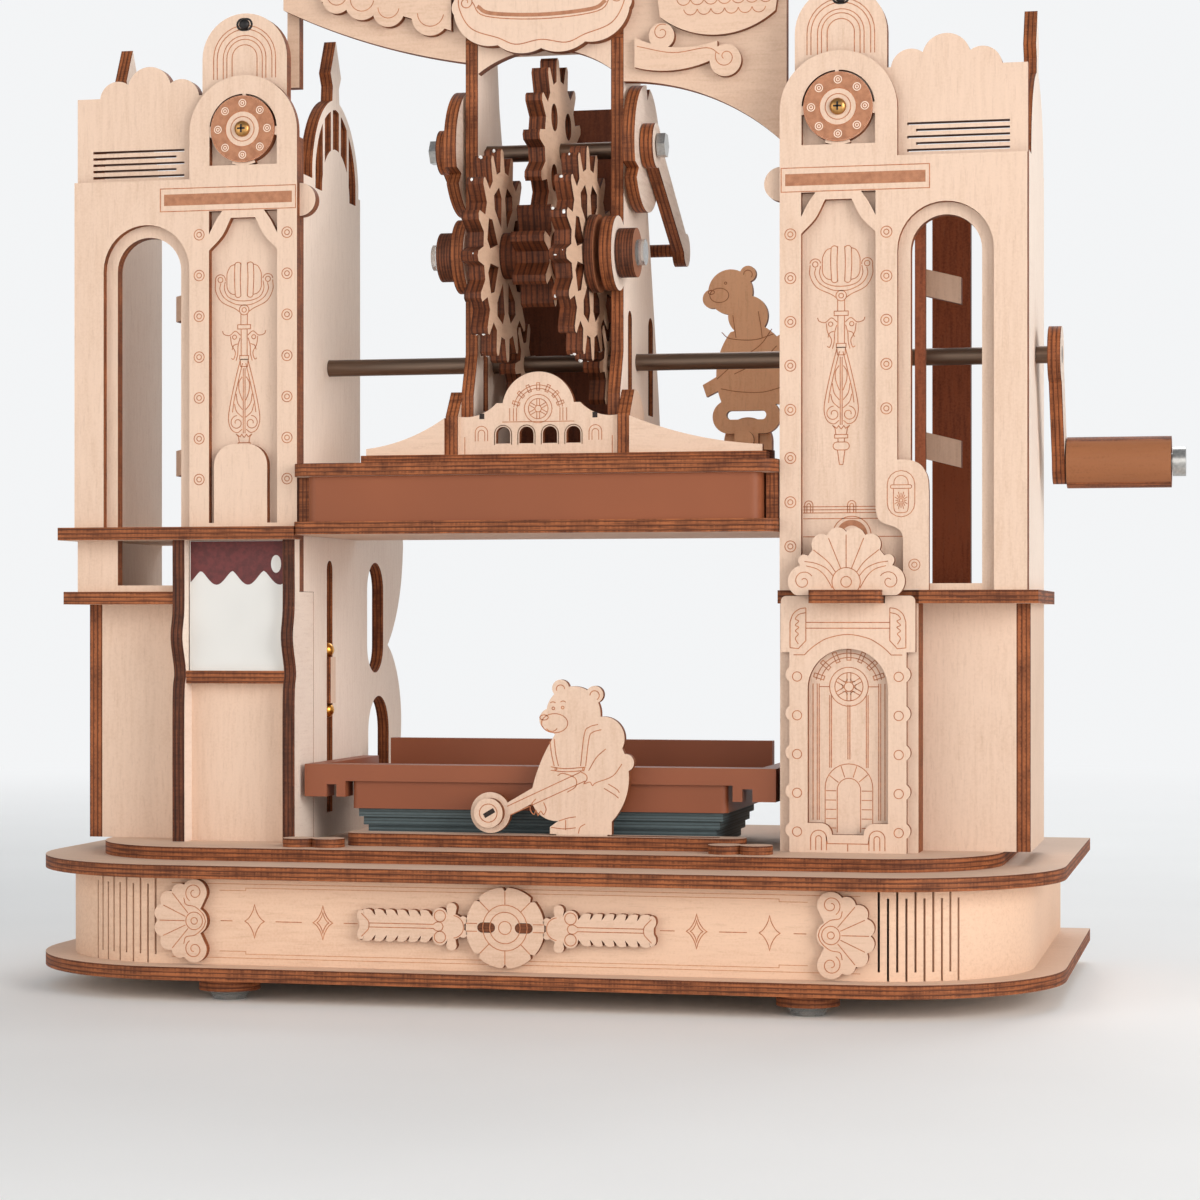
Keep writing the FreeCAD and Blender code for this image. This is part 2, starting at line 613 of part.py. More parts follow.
def wing_wall_face(inner):
    """Outline of a wing wall with its spire; the inner wall reaches the deck and has the gothic window."""
    shoulder = GOTHIC_SPRING - 3.0
    mid = (GOTHIC_REAR + GOTHIC_FRONT) / 2.0
    spire = outline((mid - 3.2, GOTHIC_TOP - 4.0), (mid + 3.2, GOTHIC_TOP - 4.0),
                    (mid + 2.4, GOTHIC_TOP + 3.0), (mid + 4.2, GOTHIC_TOP + 6.0), (mid, SPIRE_TOP),
                    (mid - 4.2, GOTHIC_TOP + 6.0), (mid - 2.4, GOTHIC_TOP + 3.0))
    parts = [slab(WALL_Y, WING_BACK, LEDGE_TOP, shoulder), gothic(0.0, shoulder - 5.0), spire]
    if not inner:
        return joined(parts)
    parts.append(slab(PEDESTAL_BACK, WING_BACK, DECK_TOP, LEDGE_TOP + 1.0))
    window = gothic(2.4, GOTHIC_SPRING - 5.0)
    window = window.cut(round_top(mid, 11.0, GOTHIC_SPRING - 8.0, GOTHIC_SPRING - 4.5))
    for i in range(LANCETS - 1):
        y = mid + (i - (LANCETS - 2) / 2.0) * 6.4
        window = window.cut(slab(y - 0.8, y + 0.8, GOTHIC_SPRING - 10.0, GOTHIC_TOP))
    return joined(parts).cut(window)


def make_wing_walls():
    """Inner walls with the lift slot and shaft hole, and outer walls with the hole on the crank's side."""
    slot = outline((SLOT_Y - SLOT_W / 2.0, SLOT_LOW), (SLOT_Y + SLOT_W / 2.0, SLOT_LOW),
                   (SLOT_Y + SLOT_W / 2.0, SLOT_TOP - SLOT_W / 2.0),
                   (SLOT_Y, SLOT_TOP, SLOT_Y - SLOT_W / 2.0, SLOT_TOP - SLOT_W / 2.0))
    hole = disc(MAIN_Y, MAIN_Z, BORE_R)
    inner = wing_wall_face(True).cut(slot).cut(hole)
    save("wing_inner_walls", *both([side(inner, WALL_X, BOARD)]))
    outer = wing_wall_face(False)
    save("wing_outer_walls", side(outer.cut(hole), WING_OUT - BOARD, BOARD),
         mirror(side(outer, WING_OUT - BOARD, BOARD)))


def make_lower_bays():
    """Low front and side boards beside each pedestal, under the ledge."""
    x = WALL_X + PEDESTAL_W
    y = PEDESTAL_BACK - BOARD
    bay = block(x, WING_OUT - BOARD, y, PEDESTAL_BACK, DECK_TOP, LEDGE_Z)
    cheek = block(WING_OUT - BOARD, WING_OUT, y, WING_BACK, DECK_TOP, LEDGE_Z)
    save("lower_bays", *both([bay, cheek]))


def make_rear_scrolls():
    """Volute bracket behind each inner wall, with an arched and an oval opening."""
    y = WING_BACK
    z = DECK_TOP
    face = outline((y, z), (y + 33.0, z), (y + 35.0, z + 18.0), (y + 33.0, z + 38.0, y + 24.0, z + 46.0),
                   (y + 34.0, z + 57.0, y + 38.0, z + 70.0), (y + 35.0, z + 78.0, y + 28.0, z + 79.0),
                   (y, z + 79.0))
    arch = round_top(y + 16.0, 9.0, z + 8.0, z + 24.0)
    oval = round_top(y + 13.0, 7.0, z + 46.0, z + 60.0).fuse(disc(y + 13.0, z + 46.0, 7.0)).removeSplitter()
    save("rear_scrolls", *both([side(face.cut(arch).cut(oval), WALL_X, BOARD)]))


# Tower on the platen: side plates, arch beams, sign and facade
def make_tower():
    """Side plates with round lugs at the gear axle, shaft holes and arched slots; an arched brace and
    a cap between them, and curved feet outside."""
    foot = PLATEN_TOP
    toe = FACADE_Y + THIN
    body = outline((toe, foot), (toe, foot + 16.0), (TOWER_FRONT, foot + 26.0),
                   (TOWER_FRONT, TOWER_TOP), (HEAD_BACK, TOWER_TOP), (HEAD_BACK + 2.0, TOWER_TOP - 12.0),
                   (TOWER_BACK - 11.0, foot + 42.0), (TOWER_BACK - 4.0, foot + 18.0), (TOWER_BACK, foot))
    face = joined([body, disc(GEAR_Y, GEAR_Z, LUG_R)])
    for y, z in ((GEAR_Y, GEAR_Z), (MAIN_Y, MAIN_Z), (CRANK_Y, CRANK_Z)):
        face = face.cut(disc(y, z, BORE_R))
    for y, half in ((42.0, 2.2), (66.0, 2.8)):
        face = face.cut(round_top(y, half, foot + 13.0, foot + 34.0))
    save("tower_plates", *both([side(face, TOWER_X, BOARD)]))
    half = TOWER_X
    heel = TOWER_TOP - BRACE_H - 5.3
    brace = outline((-half, heel), (0, TOWER_TOP - BRACE_H, half, heel), (half, TOWER_TOP),
                    (-half, TOWER_TOP))
    cap = block(-half - BOARD, half + BOARD, TOWER_FRONT, HEAD_BACK, TOWER_TOP, TOWER_TOP + BOARD)
    z = PLATEN_TOP + THIN
    foot = outline((FACADE_Y - 1.0, z), (TOWER_FRONT + 9.0, z), (TOWER_FRONT + 9.0, z + 10.0),
                   (TOWER_FRONT + 4.0, z + 14.0, TOWER_FRONT - 2.0, z + 15.0), (FACADE_Y - 1.0, z + 9.0))
    feet = both([side(foot, half + BOARD, BOARD)])
    save("tower_ties", front(brace, TOWER_FRONT, BOARD), cap, *feet)


def make_arch_beams():
    """Right beam with a round arch falling to the column, left beam sweeping up over the wing."""
    x = TOWER_X + BOARD
    z = BEAM_TOP
    right = outline((x, z - 28.2), (39.3, z - 32.4, WALL_X, z - 44.4), (WALL_X, z - 8.0),
                    (46.0, z - 1.0, x, z))
    left = outline((-x, z - 22.3), (-39.0, z - 17.7, BEAM_LEFT, z - 8.0), (BEAM_LEFT, z - 3.5), (-x, z))
    save("arch_beam_right", front(right, TOWER_FRONT, BOARD))
    hook = outline((BEAM_LEFT, z - 26.0), (BEAM_LEFT + 3.0, z - 26.0), (BEAM_LEFT + 3.0, z - 8.0),
                   (BEAM_LEFT, z - 3.5))
    save("arch_beam_left", front(left, TOWER_FRONT, BOARD), front(hook, TOWER_FRONT + BOARD, BOARD))
    near = SIGN_HALF + 1.0
    curl = joined([outline((near, z - 25.4), (32.0, z - 26.4, 41.5, z - 23.8), (41.5, z - 20.0),
                           (30.0, z - 21.0, near, z - 18.5)),
                   disc(43.4, z - 24.6, 3.7), disc(x + 9.4, z - 18.4, 3.0)])
    plume = outline((28.0, z - 14.0), (38.0, z - 18.4, 55.0, z - 13.6), (56.5, z - 4.0),
                    (40.0, z - 1.0, 27.0, z - 6.0))
    scallops = [outline((-near, z - 15.0), (-34.0, z - 11.0), (-54.0, z - 6.8), (-54.0, z - 4.6),
                        (-near, z - 2.0))]
    for lobe_x, drop, r in ((-50.0, 6.2, 3.6), (-43.8, 7.4, 4.2), (-37.3, 9.6, 3.9), (-27.0, 11.4, 4.6)):
        scallops.append(disc(lobe_x, z - drop, r))
    facings = [front(face, TOWER_FRONT - THIN, THIN) for face in (curl, plume, joined(scallops))]
    save("beam_ornaments", *facings)


def make_sign():
    """Bare sign plate with a bracketed lower edge and a volute at each side."""
    z = BEAM_TOP
    half = outline((0, z - 20.2), (6.0, z - 21.1, 10.5, z - 19.1), (17.6, z - 17.4, SIGN_HALF, z - 12.0),
                   (SIGN_HALF, z - 4.0), (15.0, z + 0.6, 0, z + 2.0))
    volute = disc(SIGN_HALF - 2.0, z - 10.0, 2.6)
    plate = joined([shape for piece in (half, volute) for shape in (piece, mirror(piece))])
    save("sign_plate", front(plate, SIGN_Y, BOARD))


def make_facade():
    """Small arched facade with four windows on a strip, and a sweeping wing at each side."""
    strip = block(SWOOP_LEFT, SWOOP_RIGHT, FACADE_Y - 3.0, FACADE_Y + THIN, PLATEN_TOP, PLATEN_TOP + THIN)
    base = [strip]
    z = PLATEN_TOP + THIN
    brow = z + 12.0
    face = outline((-FACADE_HALF, z), (FACADE_HALF, z), (FACADE_HALF, z + 9.0),
                   (14.0, z + 9.4, 10.0, brow), (8.5, brow), (0, z + 19.2, -8.5, brow), (-10.0, brow),
                   (-14.0, z + 9.4, -FACADE_HALF, z + 9.0))
    for i in range(4):
        face = face.cut(round_top((i - 1.5) * 5.6, 1.7, z + 2.6, z + 4.8))
    save("facade", front(face, FACADE_Y, THIN))
    inner = TOWER_X + 2 * BOARD
    for sign, end in ((1, SWOOP_RIGHT), (-1, -SWOOP_LEFT)):
        wing = outline((inner, z), (end - 1.0, z), (end - 1.0, z + 1.6),
                       ((inner + end) / 2.0, z + 3.6, inner, z + 8.6))
        sheet = front(wing, FACADE_Y - THIN, THIN)
        base.append(sheet if sign > 0 else mirror(sheet))
    save("facade_base", *base)


# Platen housing over the bed
def make_platen():
    """Plastic block between two plates, with end brackets, and a tongue behind for the rear bear."""
    half = PLATEN_HALF
    block_z = PLATEN_Z + BOARD
    frame = flat(rounded(-half, half, PLATEN_Y + 0.5, PLATEN_BACK, 3.0), PLATEN_Z, BOARD)
    core = rounded(-half + 3.5, half - 3.5, PLATEN_Y + 1.2, PLATEN_BACK - 1.0, 2.5)
    save("platen_block", flat(core, block_z, PLATEN_BLOCK_H))
    bracket = block(half - BOARD, half, PLATEN_Y + 6.0, PLATEN_BACK - 6.0, block_z,
                    block_z + PLATEN_BLOCK_H)
    save("platen_frame", frame, *both([bracket]))
    top = rounded(-half, half, PLATEN_Y, PLATEN_BACK, 4.0)
    tongue = slab(REAR_PIVOT_X - 10.0, REAR_PIVOT_X + 10.0, PLATEN_BACK - 1.0, REAR_BEAR_Y + 8.0)
    save("platen_top", flat(joined([top, tongue]), PLATEN_TOP - BOARD, BOARD))
    discs = []
    for x, y, r in ((29.5, 62.0, 5.8), (44.0, 60.0, 6.4)):
        discs.append(flat(disc(x, y, r), PLATEN_TOP, 2 * THIN))
    save("platen_discs", *discs)


# Bed: tray, plates and the blocks that ride in the wall slots
def make_bed():
    """Plastic tray over a block and a stack of sheets, with a taller rear rail."""
    top = TRAY_Z + TRAY_BAR
    x = BED_HALF
    bar = block(-x, x, BED_Y, BED_Y + 6.0, TRAY_Z, top)
    for sign in (-1, 1):
        leg = block(-5.0, 5.0, BED_Y, BED_Y + 6.0, TRAY_Z - 3.7, TRAY_Z)
        leg.translate(V(sign * (x - 5.0), 0, 0))
        notch = block(-1.2, 1.2, BED_Y - 1.0, BED_Y + 7.0, TRAY_Z - 3.7, TRAY_Z - 0.8)
        notch.translate(V(sign * (x - 6.6), 0, 0))
        bar = bar.fuse(leg).cut(notch)
    floor = block(-x, x, BED_Y + 6.0, BED_BACK, TRAY_Z, TRAY_Z + THIN)
    rail = block(-x + 8.0, x - 8.0, BED_BACK - 3.0, BED_BACK, TRAY_Z + THIN, top + 4.6)
    rims = block(-x, -x + 4.0, BED_Y + 6.0, BED_BACK, TRAY_Z + THIN, top)
    rims = rims.fuse(block(x - 4.0, x, BED_Y + 6.0, BED_BACK, TRAY_Z + THIN, top))
    save("bed_tray", bar.fuse(floor).fuse(rail).fuse(rims).removeSplitter())
    save("bed_block", flat(rounded(-BLOCK_HALF, BLOCK_HALF, BED_Y + 1.0, BED_BACK, 1.5),
                           TRAY_Z - BLOCK_H, BLOCK_H))
    sheets = []
    low = DECK_TOP + GAP
    step = (TRAY_Z - BLOCK_H - low) / BED_SHEETS
    for i in range(BED_SHEETS):
        inset = 4.0 - 0.9 * i
        sheets.append(block(-BLOCK_HALF + inset, BLOCK_HALF - inset, BED_Y + 1.0 + inset,
                            BED_BACK - 1.0 - inset, low + i * step, low + (i + 1) * step))
    save("bed_sheets", *sheets)


def make_followers():
    """Short rounded block in each lift slot, held by a brass round-headed pin above and below."""
    width = SLOT_W - 2 * GAP
    bar = outline((SLOT_Y - width / 2.0, PIN_LOW), (SLOT_Y + width / 2.0, PIN_LOW),
                  (SLOT_Y + width / 2.0, PIN_HIGH), (SLOT_Y - width / 2.0, PIN_HIGH))
    x0 = WALL_X - FOLLOWER_PROUD
    x1 = WALL_X + BOARD - GAP
    save("follower_blocks", *both([side(bar, x0, x1 - x0)]))
    pins = [shaft(x0, x1, SLOT_Y, z, PIN_R) for z in (PIN_LOW - PIN_R, PIN_HIGH + PIN_R)]
    save("follower_pins", *both(pins))


# Drive train
def gear_face(teeth, turn, spokes=0):
    """Wheel with tapered, round-tipped teeth, one of them centred at the angle turn in degrees."""
    pitch_r = MODULE * teeth / 2.0
    tip_r = pitch_r + TIP * MODULE
    crown_r = tip_r - CROWN
    root_r = pitch_r - ROOT * MODULE
    step = 2 * math.pi / teeth
    steps = []
    for i in range(teeth):
        mid = math.radians(turn) + i * step
        for r, share in ((root_r, -ROOT_SHARE), (crown_r, -TIP_SHARE), (tip_r, 0.0),
                         (crown_r, TIP_SHARE), (root_r, ROOT_SHARE)):
            steps.append((r * math.cos(mid + share * step), r * math.sin(mid + share * step)))
    face = outline(*steps)
    for i in range(spokes):
        mid = math.radians(turn) + (i + 0.5) * 2 * math.pi / spokes
        near = 0.30 * pitch_r
        far = 0.72 * pitch_r
        wide = 0.34 * 2 * math.pi / spokes
        points = []
        for r, a in ((near, 0.0), (0.6 * pitch_r, wide), (far, 0.6 * wide), (far, -0.6 * wide),
                     (0.6 * pitch_r, -wide)):
            points.append((r * math.cos(mid + a), r * math.sin(mid + a)))
        face = face.cut(outline(*points))
    return face.cut(disc(0, 0, BORE_R))


def wheel(face, y, z, x0):
    """Wheel glued from two thin layers, with its axis at (y, z) and its inner face at x0."""
    face = face.copy()
    face.translate(V(y, z, 0))
    return side(face, x0, 2 * THIN)


def ring(x0, thick, y, z, radius):
    """Spacer disc on a shaft."""
    return shaft(x0, x0 + thick, y, z, radius).cut(shaft(x0 - 1.0, x0 + thick + 1.0, y, z, BORE_R))


TO_FRONT = math.degrees(math.atan2(GEAR_Z - MAIN_Z, GEAR_Y - MAIN_Y))
TO_CRANK = math.degrees(math.atan2(CRANK_Z - GEAR_Z, CRANK_Y - GEAR_Y))


def make_main_shaft():
    """Long steel shaft with two six-tooth pinions, a bush, end collars and the hand crank."""
    x_left = -WALL_X - BOARD - GAP - COLLAR_L
    arm_x = WING_OUT + BOARD
    save("main_shaft", shaft(x_left - 1.0, arm_x + BOARD, MAIN_Y, MAIN_Z, ROD / 2.0))
    pinion = gear_face(SHAFT_TEETH, TO_FRONT)
    save("shaft_pinions", *both([wheel(pinion, MAIN_Y, MAIN_Z, GEAR_X)]))
    bush = [ring(WALL_X + BOARD + GAP, 4 * BOARD, MAIN_Y, MAIN_Z, 3.6),
            ring(x_left, COLLAR_L, MAIN_Y, MAIN_Z, 3.6)]
    save("shaft_bushes", *bush)
    turn = math.radians(CRANK_TURN)
    pin_y0 = MAIN_Y + CRANK_ARM * math.cos(turn)
    pin_z0 = MAIN_Z + CRANK_ARM * math.sin(turn)
    span = outline((0, -4.2), (CRANK_ARM, -4.2), (CRANK_ARM, 4.2), (0, 4.2))
    arm = joined([disc(0, 0, 6.5), disc(CRANK_ARM, 0, 5.0), span]).cut(disc(0, 0, BORE_R))
    arm = arm.cut(disc(CRANK_ARM, 0, BORE_R))
    arm.rotate(V(0, 0, 0), V(0, 0, 1), CRANK_TURN)
    arm.translate(V(MAIN_Y, MAIN_Z, 0))
    save("crank_arm", side(arm, arm_x, BOARD))
    knob_x = arm_x + BOARD + GAP
    stop = shaft(knob_x + KNOB_L + GAP, CRANK_END, pin_y0, pin_z0, 3.4)
    save("knob_pin", shaft(arm_x, CRANK_END, pin_y0, pin_z0, ROD / 2.0).fuse(stop).removeSplitter())
    save("crank_knob", ring(knob_x, KNOB_L, pin_y0, pin_z0, KNOB_R))


def make_front_gears():
    """Axle in front of the tower with two pierced ornate gears and the seven-tooth pinion."""
    reach = TOWER_X + BOARD
    end = reach + GAP + 2 * THIN
    save("front_axle", shaft(-end, end, GEAR_Y, GEAR_Z, ROD / 2.0))
    turn = TO_FRONT + 180.0 + 180.0 / BIG_TEETH
    face = gear_face(BIG_TEETH, turn, BIG_TEETH // 2)
    save("ornate_gears", *both([wheel(face, GEAR_Y, GEAR_Z, GEAR_X)]))
    pinion = gear_face(MIDDLE_TEETH, TO_CRANK)
    hub = ring(0, GEAR_X, GEAR_Y, GEAR_Z, 5.4)
    save("middle_pinion", *both([wheel(pinion, GEAR_Y, GEAR_Z, 0).fuse(hub).removeSplitter()]))
    spacers = [ring(GEAR_X + 2 * THIN + 0.4, THIN, GEAR_Y, GEAR_Z, 9.0),
               ring(reach + GAP, 2 * THIN, GEAR_Y, GEAR_Z, 5.7)]
    save("axle_discs", *both(spacers))
    save("axle_caps", *both([shaft(end, end + THIN, GEAR_Y, GEAR_Z, 3.0)]))


def make_crank_axle():
    """Axle with the lobed gear between the tower plates and a lobed crank wheel outside each."""
    reach = TOWER_X + BOARD
    save("crank_axle", shaft(-reach - 4.0, reach + 4.0, CRANK_Y, CRANK_Z, ROD / 2.0))
    turn = TO_CRANK + 180.0 + 180.0 / LOBED_TEETH
    gear = gear_face(LOBED_TEETH, turn)
    for i in range(4):
        angle = math.radians(45.0 + 90.0 * i)
        gear = gear.cut(disc(10.0 * math.cos(angle), 10.0 * math.sin(angle), 3.2))
    save("lobed_gear", wheel(gear, CRANK_Y, CRANK_Z, -THIN))
    lobes = disc(0, 0, WHEEL_R)
    for i in range(3):
        notch = outline((WHEEL_R + 1.0, -4.0), (WHEEL_R + 1.0, 1.5), (WHEEL_R - 3.4, 0))
        notch.rotate(V(0, 0, 0), V(0, 0, 1), 90.0 + 120.0 * i)
        lobes = lobes.cut(notch)
    lobes = lobes.cut(disc(0, 0, BORE_R)).cut(disc(-THROW, 0, PIN_BORE))
    lobes.translate(V(CRANK_Y, CRANK_Z, 0))
    save("crank_wheels", *both([side(lobes, reach + 0.8, BOARD)]))
    pin_y0 = CRANK_Y - THROW
    rod_x = reach + 0.8 + BOARD + GAP
    nut_x = rod_x + BOARD + GAP
    pin = shaft(reach + 0.8, nut_x + THIN, pin_y0, CRANK_Z, PIN_BORE - RUNNING)
    corners = [(NUT_R * math.cos(math.pi * i / 3.0), NUT_R * math.sin(math.pi * i / 3.0)) for i in range(6)]
    nut = outline(*corners)
    nut.translate(V(pin_y0, CRANK_Z, 0))
    save("crank_pins", *both([pin.fuse(side(nut, nut_x, THIN)).removeSplitter()]))


def make_rods():
    """Two connecting rods from the crank pins to a cross bar behind the tower."""
    reach = TOWER_X + BOARD
    rod_x = reach + 0.8 + BOARD + GAP
    y, z = CRANK_Y - THROW, CRANK_Z
    length = math.hypot(ROD_DY, ROD_DZ)
    shape = joined([outline((0, -3.4), (length, -2.6), (length, 2.6), (0, 3.4)), disc(0, 0, 5.2),
                    disc(length, 0, 4.0)])
    shape = shape.cut(disc(0, 0, PIN_BORE))
    shape.rotate(V(0, 0, 0), V(0, 0, 1), math.degrees(math.atan2(ROD_DZ, ROD_DY)))
    shape.translate(V(y, z, 0))
    bar = shaft(-rod_x, rod_x, y + ROD_DY, z + ROD_DZ, PIN_BORE)
    save("connecting_rods", bar, *both([side(shape, rod_x, BOARD)]))


# Figures
def make_front_bear():
    """Flat bear that walks behind a roller on a long handle; its tab runs in the track's groove."""
    z = DECK_TOP + BOARD + GAP
    body = [outline((0.0, z + 9.0), (3.0, z + 18.0, 6.5, z + 24.0), (17.0, z + 25.0),
                    (23.0, z + 14.0, 19.0, z + 3.0), (19.0, z), (4.5, z), (4.5, z + 1.6), (6.5, z + 3.0),
                    (1.5, z + 5.0, 0.0, z + 9.0)),
            disc(10.0, z + 27.5, 6.4), disc(4.6, z + 26.2, 2.6), disc(7.0, z + 33.4, 2.0),
            disc(15.0, z + 32.0, 2.0), disc(22.2, z + 16.5, 2.0), disc(17.0, z + 22.0, 5.0),
            outline((-11.5, z + 3.6), (-9.6, z + 1.6), (16.0, z + 15.4), (14.4, z + 18.6)),
            disc(-9.6, z + 4.7, 4.7)]
    tab = slab(BEAR_TAB, BEAR_TAB + BEAR_TAB_L, DECK_Z + GAP, z + 2.0)
    wheel = pin_y(-9.6, BEAR_Y - THIN, BEAR_Y, z + 4.7, 3.4)
    save("front_bear", front(joined(body + [tab]), BEAR_Y, THIN), wheel)


def make_rear_bear():
    """Second bear on a slotted rocker plate, on a bracket that stands on the platen's tongue."""
    x, z = REAR_PIVOT_X, REAR_PIVOT_Z
    y = REAR_BEAR_Y
    body = [outline((x - 6.0, z + 9.0), (x - 7.5, z + 18.0, x - 4.0, z + 27.0), (x + 3.0, z + 29.0),
                    (x + 10.0, z + 22.0, x + 9.0, z + 9.0)),
            disc(x - 4.0, z + 37.0, 5.6), disc(x - 8.6, z + 35.4, 2.4), disc(x + 0.4, z + 41.4, 2.0),
            disc(x + 0.4, z + 31.0, 5.0), disc(x + 9.0, z + 24.0, 2.2),
            outline((x - 11.0, z + 14.0), (x - 10.0, z + 11.0), (x + 4.0, z + 18.0), (x + 3.0, z + 22.0)),
            capsule(x - 8.5, x + 8.5, z + 6.0, 4.2), slab(x - 3.0, x + 3.0, z - 2.0, z + 8.0),
            disc(x, z, 3.0)]
    face = joined(body).cut(disc(x, z, PIN_BORE)).cut(capsule(x - 5.0, x + 5.0, z + 6.4, 1.1))
    save("rear_bear", front(face, y, THIN))
    bracket = round_top(x, 6.0, PLATEN_TOP, z).cut(disc(x, z, PIN_BORE))
    stem = pin_y(x, y - 2.0, y + THIN + GAP + BOARD, z, PIN_BORE - RUNNING)
    head = pin_y(x, y - 2.0 - 1.2, y - 2.0, z, 2.4)
    save("rear_bracket", front(bracket, y + THIN + GAP, BOARD), stem.fuse(head).removeSplitter())


os.makedirs("parts", exist_ok=True)
make_feet()
make_base()
make_fascia_ornaments()
make_deck_lobes()
make_pedestal()
make_cabinet()
make_ledge()
make_shell_crest()
make_wing_front()
make_column_frame()
make_window_band()
make_lantern_plates()
make_wing_walls()
make_lower_bays()
make_rear_scrolls()
make_tower()
make_arch_beams()
make_sign()
make_facade()
make_platen()
make_bed()
make_followers()
make_main_shaft()
make_front_gears()
make_crank_axle()
make_rods()
make_front_bear()
make_rear_bear()
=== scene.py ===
import math
import bpy
import numpy as np
from mathutils import Euler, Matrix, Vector
from mathutils.geometry import tessellate_polygon


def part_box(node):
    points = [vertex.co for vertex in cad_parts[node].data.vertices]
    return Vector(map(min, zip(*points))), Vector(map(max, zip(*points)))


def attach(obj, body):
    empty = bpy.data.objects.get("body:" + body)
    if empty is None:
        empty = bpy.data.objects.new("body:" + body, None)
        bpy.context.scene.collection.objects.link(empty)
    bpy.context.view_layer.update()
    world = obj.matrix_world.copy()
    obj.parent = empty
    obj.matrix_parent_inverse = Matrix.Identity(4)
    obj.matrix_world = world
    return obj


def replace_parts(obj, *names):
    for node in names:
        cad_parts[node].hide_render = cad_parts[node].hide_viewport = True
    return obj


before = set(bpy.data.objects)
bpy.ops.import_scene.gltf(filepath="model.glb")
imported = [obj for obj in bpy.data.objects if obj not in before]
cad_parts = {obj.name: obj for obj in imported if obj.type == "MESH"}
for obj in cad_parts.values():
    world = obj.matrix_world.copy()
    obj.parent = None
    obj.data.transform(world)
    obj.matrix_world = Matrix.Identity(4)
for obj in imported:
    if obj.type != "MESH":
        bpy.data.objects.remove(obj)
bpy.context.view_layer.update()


# The place for the photograph: the press stands on a plain pale table in front of a pale backdrop,
# and is seen from a little to the right of its middle plane, at the height of the bed.
# Distances are metres, and X = MIDDLE is the plane about which the press is symmetric.
sign_low, sign_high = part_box("sign_plate")
MIDDLE = (sign_low.x + sign_high.x) / 2.0
MM = 0.001

eye = bpy.data.cameras.new("viewpoint")
eye.lens = 90.0
eye.sensor_width = 36.0
eye.sensor_fit = "HORIZONTAL"
eye.shift_y = 22.0 / 1200.0
eye.clip_start = 0.02
eye.clip_end = 20.0
viewpoint = bpy.data.objects.new("viewpoint", eye)
viewpoint.location = (0.1530, -0.7060, 0.0861)
viewpoint.rotation_euler = Euler((math.radians(90.0), 0.0, math.radians(12.6)))
bpy.context.scene.collection.objects.link(viewpoint)
bpy.context.scene.camera = viewpoint


def lamp(name, place, aim, size, power, tint):
    """Square soft lamp at place, turned to face aim."""
    data = bpy.data.lights.new(name, "AREA")
    data.shape = "SQUARE"
    data.size = size
    data.energy = power
    data.color = tint
    holder = bpy.data.objects.new(name, data)
    holder.location = place
    holder.rotation_euler = (Vector(aim) - Vector(place)).to_track_quat("-Z", "Y").to_euler()
    bpy.context.scene.collection.objects.link(holder)


lamp("soft_window", (1.15, -0.80, 0.46), (0.0, 0.0, 0.12), 0.8, 13.4, (1.0, 0.98, 0.96))
lamp("fill_left", (-0.80, -0.85, 0.30), (0.0, 0.0, 0.12), 0.9, 4.6, (1.0, 0.97, 0.93))
lamp("fill_front", (0.15, -1.05, 0.24), (0.0, 0.0, 0.14), 0.7, 2.6, (1.0, 0.98, 0.95))
lamp("rear_top", (0.15, 0.80, 0.90), (0.0, 0.0, 0.15), 0.7, 5.0, (0.96, 0.98, 1.0))

room = bpy.data.worlds.new("pale_room")
room.use_nodes = True
bpy.context.scene.world = room
room_tree = room.node_tree
room_tree.nodes.clear()
room_out = room_tree.nodes.new("ShaderNodeOutputWorld")
room_mix = room_tree.nodes.new("ShaderNodeMixShader")
room_glow = room_tree.nodes.new("ShaderNodeBackground")
room_glow.inputs["Color"].default_value = (0.93, 0.96, 1.0, 1.0)
room_glow.inputs["Strength"].default_value = 0.38
room_white = room_tree.nodes.new("ShaderNodeBackground")
room_white.inputs["Color"].default_value = (0.96, 0.97, 0.98, 1.0)
room_white.inputs["Strength"].default_value = 1.0
room_ray = room_tree.nodes.new("ShaderNodeLightPath")
seen = room_tree.nodes.new("ShaderNodeMath")
seen.operation = "MAXIMUM"
room_tree.links.new(room_ray.outputs["Is Camera Ray"], seen.inputs[0])
room_tree.links.new(room_ray.outputs["Is Transmission Ray"], seen.inputs[1])
room_tree.links.new(seen.outputs[0], room_mix.inputs[0])
room_tree.links.new(room_glow.outputs[0], room_mix.inputs[1])
room_tree.links.new(room_white.outputs[0], room_mix.inputs[2])
room_tree.links.new(room_mix.outputs[0], room_out.inputs[0])
bpy.context.scene.view_settings.view_transform = "Standard"


def linear(red, green, blue):
    """Colour written as 0 to 255 display values, turned into linear light: the display curve undone."""
    share = np.array([red, green, blue]) / 255.0
    light = np.where(share <= 0.04045, share / 12.92, ((share + 0.055) / 1.055) ** 2.4)
    return (float(light[0]), float(light[1]), float(light[2]), 1.0)


def sweep_surface(name, points, faces):
    """Mesh object from an array of points and an array of faces."""
    mesh = bpy.data.meshes.new(name)
    mesh.from_pydata(np.asarray(points, float).tolist(), [], np.asarray(faces, int).tolist())
    mesh.validate()
    mesh.update()
    piece = bpy.data.objects.new(name, mesh)
    bpy.context.scene.collection.objects.link(piece)
    return piece


